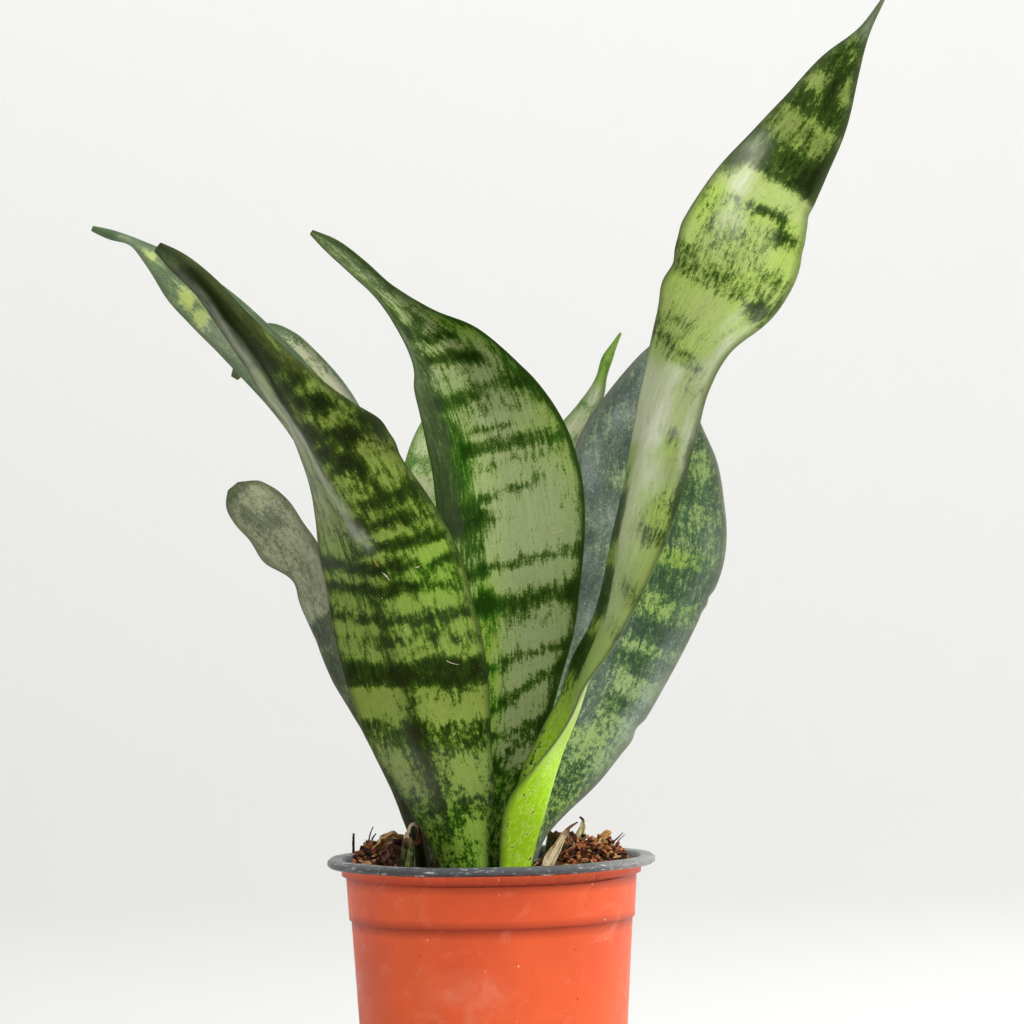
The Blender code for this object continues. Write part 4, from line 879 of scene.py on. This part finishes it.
mixShape = {
    "topRadius": 58.2, "rings": 58, "steps": 200, "level": 110.3, "fibres": 260,
    "under": [(55.5, 108.1), (55.3, 92.6), (53.9, 90.6), (51.8, 50), (49.1, 5.4), (32, 5.4), (30, 3.2)],
    "shades": [(38, 26, 20), (100, 64, 45), (136, 78, 50), (196, 152, 102)],
    "heaps": [(9.0, -44, 12, 260), (9.0, 40, 12, 300)],
}
crumbKinds = {
    # shades, count, and least and greatest size in millimetres
    "mix_crumbs_dark": ([(18, 11, 9), (52, 31, 23), (90, 54, 38), (140, 92, 60)], 420, (0.9, 2.6)),
    "mix_crumbs_brown": ([(60, 32, 22), (164, 94, 60), (204, 130, 86), (240, 190, 132)], 480, (0.9, 2.8)),
    "mix_crumbs_tan": ([(120, 80, 48), (190, 142, 92), (224, 184, 130), (246, 222, 182)], 280, (0.8, 2.3)),
}


def edgeShare(x, y, soft):
    return min(max((mixShape["topRadius"] - math.hypot(x, y)) / soft, 0), 1)


def bumps(x, y, table):
    return [noise.noise(Vector((x * fine, y * fine, own))) for fine, own in table]


def mixHeight(x, y):
    heaps = [tall * math.exp(-((x - at) ** 2 + (y - back) ** 2) / wide)
             for tall, at, back, wide in mixShape["heaps"]]
    front = -1.6 * math.exp(-((y + 50) ** 2) / 500)
    slow, quick = bumps(x, y, ((0.21, 3.1), (0.47, 8.7)))
    return mixShape["level"] + (sum(heaps) + 0.9 * slow + 0.6 * quick) * edgeShare(x, y, 7) + front


def surface(x, y):
    # the height of the mix with the finer lumps
    broad, middle, fine = bumps(x, y, ((0.5, 1.7), (1.1, 4.2), (2.6, 6.0)))
    return mixHeight(x, y) + (1.3 * abs(broad) + 0.9 * abs(middle) + 0.35 * fine) * edgeShare(x, y, 3)


def mixFinish(name, shades, seed, fine=1.0):
    made, tree, shader = newFinish(name, 0.85, 0.25)
    place, (dark, middle, light, bright) = objectPlace(tree), paints(shades)
    lumps = grain(tree, place, (330 * fine,) * 3, seed, 4.0, 0.65)
    bits = grain(tree, place, (900 * fine,) * 3, seed + 4, 3.0, 0.6)
    skin = ramp(tree, lumps, [(0.3, dark), (0.52, middle), (0.72, light)])
    skin = over(tree, skin, bits, [(0.62, 0.0), (0.7, 0.8)], bright)
    skin = over(tree, skin, bits, [(0.3, 0.8), (0.4, 0.0)], dark)
    tree.links.new(skin, shader.inputs["Base Color"])
    bump(tree, shader, fused(tree, lumps, 1.5, bits), 0.7, 0.0006)
    return made


def buildMix():
    shape = mixShape
    spots, rings, sunk = [], [], 0.4
    levels = [(shape["topRadius"] * ring / shape["rings"], None) for ring in range(1, shape["rings"] + 1)]
    for radius, height in levels + shape["under"]:
        rings.append(range(len(spots), len(spots) + shape["steps"]))
        for step in range(shape["steps"]):
            x, y = polar(radius, 2 * math.pi * step / shape["steps"])
            z = surface(x, y) - sunk if height is None else height
            spots.append((x * mm, y * mm, z * mm))
    top = len(spots)
    spots += [(0, 0, (surface(0, 0) - sunk) * mm), (0, 0, shape["under"][-1][1] * mm)]
    faces = []
    for step in range(shape["steps"]):
        after = (step + 1) % shape["steps"]
        faces.append((top, rings[0][step], rings[0][after]))
        faces.append((top + 1, rings[-1][after], rings[-1][step]))
        for inner, outer in zip(rings, rings[1:]):
            faces.append((inner[step], outer[step], outer[after], inner[after]))
    made = meshOf("potting_mix_bed", spots, [], faces, mixFinish("mix bed", shape["shades"], 2.0))
    for face in made.data.polygons:
        face.use_smooth = True
    placed(made, "potting_mix")


def joined(name, pieces, finish):
    # one mesh out of many small closed shapes given as (points in mm, faces)
    spots, faces = [], []
    for points, own in pieces:
        faces += [tuple(n + len(spots) for n in face) for face in own]
        spots += [tuple(c * mm for c in point) for point in points]
    placed(meshOf(name, spots, [], faces, finish))


def icoShape():
    bpy.ops.mesh.primitive_ico_sphere_add(subdivisions=1, radius=0.5)
    ball = bpy.context.object
    shape = ([tuple(v.co) for v in ball.data.vertices], [tuple(f.vertices) for f in ball.data.polygons])
    bpy.data.objects.remove(ball, do_unlink=True)
    return shape


def turned(point, heading, pitch, roll):
    x, y, z = point
    y, z = y * math.cos(roll) - z * math.sin(roll), y * math.sin(roll) + z * math.cos(roll)
    x, z = x * math.cos(pitch) - z * math.sin(pitch), x * math.sin(pitch) + z * math.cos(pitch)
    return (x * math.cos(heading) - y * math.sin(heading), x * math.sin(heading) + y * math.cos(heading), z)


def fibre(spot, way, long, thick):
    # a tapered strand about a spot; way is heading, pitch and bend, which is upright where heading is 0
    heading, pitch, bend = way
    made, own = [], []
    sides, parts = 4, 6
    for n in range(parts + 1):
        t = n / parts - 0.5
        arch = bend * long * 0.4 * (t * t - 0.1)
        fat = thick * (1 - 1.1 * abs(t))
        for k in range(sides):
            across, up = polar(fat, 2 * math.pi * k / sides)
            up *= 0.6
            flat = (long * t, arch + across, up) if heading else (long * t, across, arch + up)
            made.append(tuple(c + d for c, d in zip(spot, turned(flat, heading, pitch, 0))))
    for n in range(parts):
        for k in range(sides):
            a, b = n * sides + k, n * sides + (k + 1) % sides
            own.append((a, b, b + sides, a + sides))
    own += [tuple(range(sides))[::-1], tuple(parts * sides + k for k in range(sides))]
    return made, own


def scatterCrumbs():
    rough = random.Random(11)
    points, faces = icoShape()
    leftHeap, rightHeap = ((-50, 2.6), (5, 4), 3), ((30, 56), (-18, 16), 3.4)

    def spot(spread=57):
        radius, turn = spread * math.sqrt(rough.random()), rough.uniform(0, 2 * math.pi)
        return polar(radius, turn)

    def heapSpot(side):
        if side < 0:
            x, y, tall = leftHeap
            return rough.gauss(*x), rough.gauss(*y), rough.uniform(0, tall)
        x, y = rough.uniform(*rightHeap[0]), rough.uniform(*rightHeap[1])
        return x, y, rough.uniform(0, rightHeap[2]) * min(max((60 - math.hypot(x, y)) / 6, 0), 1)

    def crumb(x, y, size, up=0.0):
        tall = rough.uniform(0.35, 0.7)
        heading, pitch, roll = rough.uniform(0, 6.3), rough.gauss(0, 0.5), rough.gauss(0, 0.5)
        z = surface(x, y) + size * tall * 0.15 + up
        made = []
        for point in points:
            a, b, c = (c * rough.uniform(0.7, 1.25) for c in point)
            px, py, pz = turned((a * size * 1.5, b * size * 0.8, c * size * tall), heading, pitch, roll)
            made.append((x + px, y + py, z + pz))
        return made, faces

    def rootHair(x, y, long, thick):
        way = rough.uniform(0, 6.3), rough.uniform(-0.1, 0.35), rough.uniform(-0.7, 0.7)
        return fibre((x, y, surface(x, y) + 0.3), way, long, thick)

    for name, (shades, count, sizes) in crumbKinds.items():
        crumbs = [crumb(*spot(), rough.uniform(*sizes)) for _ in range(count)]
        for side, extra, larger in ((-1, count // 7, 1.5), (1, count // 3, 1.2)):
            for _ in range(extra):
                x, y, up = heapSpot(side)
                if math.hypot(x, y) < 56:
                    crumbs.append(crumb(x, y, rough.uniform(*sizes) * larger, up))
        joined(name, crumbs, mixFinish(name, shades, 5.0, 1.6))
    fibres = [rootHair(*spot(55), rough.uniform(3, 8), rough.uniform(0.15, 0.4))
              for _ in range(mixShape["fibres"])]
    fibres += [fibre((50.2, 5, 122), (0, 0.72, 0.3), 8, 0.55),
               fibre((51.6, 6, 121.6), (0, 0.8, -0.3), 7, 0.35)]
    shades = [(58, 32, 22), (104, 62, 42), (140, 96, 62), (190, 150, 104)]
    joined("mix_fibres", fibres, mixFinish("mix fibres", shades, 8.0, 1.5))


buildMix()
scatterCrumbs()
print("potting mix laid")


def strip(node, look, thick, crumple, ragged, stations, rim=0.5):
    # stations as for the leaves; crumple and ragged are millimetres of unevenness
    return {"node": node, "look": look, "thick": thick, "rim": rim, "crumple": crumple, "ragged": ragged,
            "stations": stations}


huskStrips = {
    "dry_sheath_curled_roll": strip("dry_sheath_curled", "ochre", 0.7, 1.3, 1.5, [
        (-46, 6, 115, 2.4, 2.4, -10, 50, 20), (-45.6, 4, 119.5, 3.4, 3, -20, 60, 30),
        (-43, 2, 123.4, 3.6, 3.2, -30, 70, 30), (-39, 1, 125.2, 3.4, 3.4, -40, 70, 30),
        (-35.6, 0, 122.6, 3, 3, -30, 60, 20), (-37.5, -1, 118, 1.4, 1.6, -10, 30, 0)]),
    "dry_sheath_curled_fold": strip("dry_sheath_curled", "husk", 0.7, 1.5, 1.5, [
        (-41, -3, 113.4, 2.4, 2.4, 20, 50, 30), (-41.8, -3.5, 117.2, 3.4, 3, 10, 70, 40),
        (-40.4, -3.5, 120.4, 3, 3, -20, 80, 40), (-38, -4, 122.2, 2.2, 2.2, -40, 60, 20),
        (-36, -4.5, 122.4, 1, 1, -40, 20, 0)]),
    "dry_sheath_torn_loop": strip("dry_sheath_torn", "cream", 0.5, 0.5, 0.6, [
        (-33, -7.5, 113, 1.4, 1.4, 20, 30, 10), (-33.6, -8, 120, 1.4, 1, 30, 40, 20),
        (-33.2, -8, 126.6, 0.7, 1.2, 20, 40, 20), (-30.9, -8, 129.8, 0.8, 1.4, 60, 50, 20),
        (-28.9, -8.4, 128.6, 0.6, 1.6, 70, 40, 0), (-28.4, -8.4, 125.2, 0.6, 1.5, 40, 40, 0),
        (-29.6, -8.2, 122.7, 1.3, 0.6, 10, 30, 0), (-31.6, -8, 122.4, 0.4, 0.4, 0, 0, 0)]),
    "dry_sheath_straw_strip": strip("dry_sheath_straw", "cream", 0.7, 0.25, 0.4, [
        (22.3, -12, 112.6, 2.6, 2.6, 10, 40, 14), (24.3, -12, 117, 2.9, 2.7, 10, 40, 14),
        (27.2, -12, 122, 2.1, 2.1, 10, 50, 14), (29.9, -12, 126.6, 1.5, 1.3, 10, 50, 14),
        (31.4, -12, 128.6, 0.6, 0.6, 10, 10, 10), (33, -12, 129.8, 0.4, 0.4, 10, 0, 0),
        (34.6, -12, 130.7, 0.3, 0.3, 10, 0, 0)]),
    "dry_sheath_hooked_blade": strip("dry_sheath_hooked", "striped", 0.8, 0.3, 0.3, [
        (33.4, 11, 118.5, 2.4, 2.4, 0, 60, 20), (35, 12, 122, 2.9, 2.6, 10, 70, 20),
        (36.4, 12, 125.4, 2.2, 2, 10, 60, 20), (37.2, 12, 128.6, 1.2, 1.1, 20, 40, 10),
        (36.9, 12, 130.4, 0.6, 0.5, 20, 10, 0), (35.6, 12, 131.2, 0.3, 0.3, 20, 0, 0)]),
    "dry_sheath_hooked_husk": strip("dry_sheath_hooked", "maroon", 0.7, 1, 1.2, [
        (34.5, 8, 115.5, 3, 3, 10, 60, 30), (34, 8, 119, 4, 3.8, 10, 80, 40),
        (33, 8, 122.6, 2.6, 3.2, 0, 70, 40), (31.6, 8, 125.6, 1.2, 1.4, 0, 40, 20)]),
    "cut_leaf_stub_left_stump": strip("cut_leaf_stub_left", "stump", 2.6, 0.4, 1.8, [
        (-34, -19, 98.5, 3.6, 3.6, 20, -30, -12), (-34, -19, 108, 3.8, 3.8, 20, -30, -12),
        (-33.4, -18.6, 115, 3.6, 3.6, 20, -40, -12), (-33, -18.3, 121, 2.9, 2.9, 25, -40, -20),
        (-33.2, -18, 125, 1.7, 1.7, 25, -30, -20)], 0.9),
    "cut_leaf_stub_right_stump": strip("cut_leaf_stub_right", "stump", 2.8, 0.3, 1.4, [
        (26, 21, 98.5, 5, 5, 10, -20, -10), (26, 21, 110, 5.2, 5.2, 10, -20, -10),
        (26.4, 21, 118, 5, 5, 10, -20, -10), (27, 21, 124.6, 4.4, 4.4, 10, -20, -10)], 1.0),
}
huskShades = {
    # three shades along the streaks, the shade of the dying end, and how far down it reaches
    "ochre": [(96, 66, 34), (184, 144, 84), (238, 212, 158), (80, 54, 32), 0.92],
    "husk": [(48, 26, 20), (118, 82, 66), (196, 158, 128), (40, 24, 18), 0.85],
    "cream": [(170, 130, 84), (232, 210, 168), (252, 240, 212), (120, 80, 54), 0.7],
    "striped": [(92, 80, 52), (196, 182, 132), (236, 226, 190), (56, 52, 44), 0.86],
    "maroon": [(44, 20, 16), (92, 48, 38), (168, 124, 96), (40, 22, 18), 0.9],
    "stump": [(16, 24, 10), (30, 42, 16), (118, 124, 62), (96, 74, 44), 0.93],
}


def huskFinish(name, kind, seed):
    *shades, reach = huskShades[kind]
    low, mid, high, end = paints(shades)
    made, tree, shader = newFinish(name, 0.7, 0.2)
    blade = add(tree, "Attribute", attribute_name="blade").outputs["Vector"]
    growth = add(tree, "Attribute", attribute_name="growth").outputs["Color"]
    along = add(tree, "SeparateColor", {0: growth}).outputs[0]
    streaks = grain(tree, blade, (1300, 90, 0), seed, 4.0, 0.6)
    blots = grain(tree, blade, (500, 300, 0), seed + 4, 4.0, 0.7)
    level = fused(tree, blots, 0.4, times(tree, streaks, 0.6))
    skin = ramp(tree, level, [(0.4, low), (0.5, mid), (0.6, high)])
    tip = fused(tree, sums(tree, "SUBTRACT", blots, 0.5), 0.5, along)
    skin = over(tree, skin, tip, [(reach - 0.08, 0.0), (reach + 0.04, 1.0)], end)
    tree.links.new(skin, shader.inputs["Base Color"])
    bump(tree, shader, fused(tree, blots, 0.6, streaks), 0.5, 0.0004)
    return made


print("dry sheaths and stumps")
for number, (name, husk) in enumerate(huskStrips.items()):
    finish = huskFinish(name + " skin", husk["look"], 3.1 * number)
    made = growLeaf(name, husk, finish, 20.0 + number, 40, 6)
    placed(made, husk["node"])

looseBits = {
    # for each leaf: along and across it, length, thickness, heading in degrees, bend and shade
    "front": (leafFrontLeft, [
        (0.487, 0.02, 4.6, 0.3, -62, 0.7, "tan"), (0.468, 0.04, 4.2, 0.34, -48, -0.6, "cream"),
        (0.46, 0.45, 1.6, 0.34, 10, 0.3, "cream"), (0.42, -0.45, 2.2, 0.2, -16, 0.3, "tan"),
        (0.33, 0.5, 7.4, 0.2, -24, 0.9, "cream"), (0.53, 0.2, 1.4, 0.2, 30, 0.3, "tan"),
        (0.44, -0.1, 1.2, 0.24, 80, 0, "cream"), (0.39, 0.05, 1, 0.2, 20, 0, "cream"),
        (0.235, 0.35, 1.2, 0.3, 50, 0, "cream")]),
    "centre": (leafCentre, [
        (0.498, 0.68, 5.6, 0.18, 20, 1.5, "cream"), (0.482, 0.6, 2.6, 0.16, 74, 0.6, "cream"),
        (0.57, 0.8, 1, 0.2, 0, 0, "tan")]),
    "tall": (leafTallRight, [
        (0.745, -0.45, 1.6, 0.2, 30, 0.6, "cream"), (0.69, -0.25, 1.6, 0.2, -30, 0.9, "cream"),
        (0.765, 0, 1, 0.2, 0, 0, "cream"), (0.63, -0.4, 1.4, 0.16, 60, 0.4, "cream")]),
}
bitShades = {
    "tan": [(130, 84, 44), (206, 150, 88), (232, 186, 124), (246, 220, 170)],
    "cream": [(200, 186, 150), (232, 224, 196), (244, 238, 218), (252, 248, 236)],
}


def scatterBits():
    # dry flakes and a few hairs caught on the skin, in front of the leaf they lie on
    rows, half, clear = 220, 20, 1.6
    made = {shade: [] for shade in bitShades}
    for leaf, bits in looseBits.values():
        points = leafSurface(leaf, rows, half)[0]
        for v, s, long, thick, heading, bend, shade in bits:
            x, y, z = points[round(v * (rows - 1)), round(half + half * s)]
            made[shade].append(fibre((x, y - clear, z), (0, math.radians(heading), bend), long, thick))
    for shade, pieces in made.items():
        finish = mixFinish("dry bits " + shade, bitShades[shade], 31.0, 1.4)
        joined("dry_bits_" + shade, pieces, finish)


woodBits = {
    # path in millimetres, thickness at the foot and at the end
    "twig_upright": ([(-55.3, 12, 117.6), (-55.5, 12, 121), (-55.2, 12, 125.6)], 0.6, 0.45),
    "twig_leaning_left": (
        [(-50.2, 14, 118.6), (-49.2, 14, 122.4), (-48.9, 14, 124.4), (-47.4, 14, 128)], 0.4, 0.22),
    "twig_leaning_right": (
        [(-49.6, 17, 119), (-48.2, 17, 121.8), (-47.6, 17, 123.6), (-46.3, 17, 125)], 0.45, 0.25),
}
barkChips = {
    # centre and size in millimetres, then heading, pitch and roll in degrees, and the shades
    "bark_chip_back_right": ((45.4, 8.5, 123.2), (8, 3.6, 1.6), (10, 38, 30), "orange"),
    "bark_chip_right": ((50, -6, 113.9), (6.5, 4, 2), (75, 10, 14), "tan"),
    "bark_chip_front_right": ((38, -22, 112.6), (7, 4, 1.8), (-35, 8, -10), "tan"),
    "bark_chip_left": ((-50, -7, 114.4), (6.5, 4, 2), (60, 14, 12), "tan"),
    "bark_chip_back": ((12, 44, 113), (8.5, 4.8, 2.4), (10, 6, -8), "dark"),
}
barkShades = {
    "orange": [(120, 70, 40), (206, 148, 92), (240, 200, 150), (250, 226, 190)],
    "tan": [(84, 56, 34), (168, 128, 84), (206, 172, 124), (230, 206, 168)],
    "dark": [(30, 18, 14), (78, 48, 34), (112, 74, 52), (160, 120, 84)],
    "twig": [(22, 16, 14), (44, 30, 24), (70, 50, 40), (110, 84, 64)],
}
rhizomeShape = {
    "path": [(17, -9, 89), (6, -15, 89.5), (-11, -19, 90), (-26, -6, 89.5), (-21, 13, 90), (-13, 32, 89.5),
             (2, 21, 90), (13, 11, 90), (5, 4, 89.5), (-7, 4, 89.5)],
    "radius": 4.5, "shades": [(120, 72, 30), (196, 136, 66), (222, 168, 96), (236, 200, 140)],
}


def barkFinish(name, kind):
    return mixFinish(name + " bark", barkShades[kind], 14.0, 1.3)


def tube(name, path, foot, end, alongSteps, roundSteps, merge):
    # a capped tube along a path, its radius going from foot to end
    curve = bpy.data.curves.new(name, "CURVE")
    curve.dimensions, curve.resolution_u, curve.use_fill_caps = "3D", alongSteps, True
    curve.bevel_depth, curve.bevel_resolution = mm, roundSteps
    line = curve.splines.new("NURBS")
    line.points.add(len(path) - 1)
    line.use_endpoint_u, line.order_u = True, 3
    for number, (point, spot) in enumerate(zip(line.points, path)):
        point.co = (*(c * mm for c in spot), 1)
        point.radius = foot + (end - foot) * number / (len(path) - 1)
    only(linked(name, curve))
    bpy.ops.object.convert(target="MESH")
    bpy.ops.object.mode_set(mode="EDIT")
    weld(merge)
    return bpy.context.object


def buildTwigs():
    for node, (path, foot, end) in woodBits.items():
        made = tube(node + "_stem", path, foot, end, 6, 3, 0.00001)
        for vertex in made.data.vertices:
            vertex.co += Vector(noise.noise_vector(vertex.co * 900)) * 0.12 * mm
        bpy.ops.object.shade_smooth()
        made.select_set(False)
        made.data.materials.append(barkFinish(made.name, "twig"))
        placed(made, node)


def buildChips():
    for number, (node, (spot, size, turns, kind)) in enumerate(barkChips.items()):
        bpy.ops.mesh.primitive_ico_sphere_add(subdivisions=4, radius=0.5)
        made = bpy.context.object
        made.name = made.data.name = node + "_flake"
        heading, pitch, roll = (math.radians(angle) for angle in turns)
        for vertex in made.data.vertices:
            x, y, z = vertex.co
            lump = 1 + 0.5 * noise.noise(vertex.co * 3 + Vector((number, 0, 0)))
            lump += 0.2 * noise.noise(vertex.co * 9)
            curl = 1.4 * (x * x - 0.12) * size[2]
            flat = (x * size[0] * lump, y * size[1] * lump, z * size[2] * lump + curl)
            vertex.co = [(a + b) * mm for a, b in zip(spot, turned(flat, heading, pitch, roll))]
        bpy.ops.object.shade_smooth_by_angle(angle=math.radians(40))
        made.select_set(False)
        made.data.materials.append(barkFinish(made.name, kind))
        placed(made, node)


def buildRhizome():
    # the creeping stem under the leaves
    shape = rhizomeShape
    made = tube("rhizome_stem", shape["path"], shape["radius"], shape["radius"], 14, 6, 0.0000002)
    bpy.ops.object.shade_smooth()
    made.select_set(False)
    made.data.materials.append(mixFinish("rhizome skin", shape["shades"], 17.0, 0.6))
    placed(made, "rhizome")


scatterBits()
buildTwigs()
buildChips()
buildRhizome()
print("twigs, chips and rhizome placed")


def glowingPaleFinish(name, shade):
    made, tree, shader = newFinish(name, 0.9, 0.2)
    height = add(tree, "SeparateXYZ", {0: objectPlace(tree)}).outputs[2]
    shader.inputs["Base Color"].default_value = shade
    # painted light: the backdrop glows, none near the floor and more up the wall, to brighten the upper wall
    tree.links.new(ramp(tree, height, [(0.05, 0.0), (0.7, 0.13)]), shader.inputs["Emission Color"])
    shader.inputs["Emission Strength"].default_value = 1
    return made


def sweep():
    # a floor that curves up into a wall behind
    front, foot, bend, back, top, side = -5.0, 1.2, 0.9, 2.1, 4.0, 6
    line = [(front, 0.0), (foot, 0.0)]
    for a in np.radians(np.linspace(6, 90, 15)):
        line.append((foot + bend * math.sin(a), bend - bend * math.cos(a)))
    line.append((back, top))
    spots = [(x, y, z) for y, z in line for x in (-side, side)]
    faces = [(2 * n, 2 * n + 1, 2 * n + 3, 2 * n + 2) for n in range(len(line) - 1)]
    made = meshOf("studio_floor", spots, [], faces)
    for face in made.data.polygons:
        face.use_smooth = True
    made.data.materials.append(glowingPaleFinish("studio floor", (0.9, 0.9, 0.885, 1)))


sweep()
print("stage, light and camera")
world = bpy.data.worlds.new("studio")
bpy.context.scene.world = world
world.use_nodes = True
sky = world.node_tree
toward = add(sky, "SeparateXYZ", {0: add(sky, "TexCoord").outputs["Generated"]}).outputs[0]
glow = ramp(sky, fused(sky, toward, 0.5, 0.5), [(0.1, (0.66, 0.66, 0.66, 1)), (0.9, (1.08, 1.08, 1.06, 1))])
sky.links.new(glow, sky.nodes["Background"].inputs["Color"])
sky.nodes["Background"].inputs["Strength"].default_value = 0.7


def softLight(name, spot, size, power):
    lamp = bpy.data.lights.new(name, "AREA")
    lamp.shape, lamp.size, lamp.energy = "DISK", size, power
    made = linked(name, lamp)
    made.location = spot
    made.rotation_euler = (Vector((0, 0, 0.25)) - Vector(spot)).to_track_quat("-Z", "Y").to_euler()


softLight("key light", (1.0, -1.0, 1.5), 0.9, 24)
softLight("side light", (1.4, 0.3, 0.7), 0.8, 8)

camera = bpy.data.cameras.new("front camera")
camera.lens, camera.sensor_width = 167, 36
view = linked("front camera", camera)
view.location = (0.01056, -1.9, 0.25387)
view.rotation_euler = (math.pi / 2, lean, 0)
bpy.context.scene.camera = view
bpy.context.scene.view_settings.view_transform = "Standard"
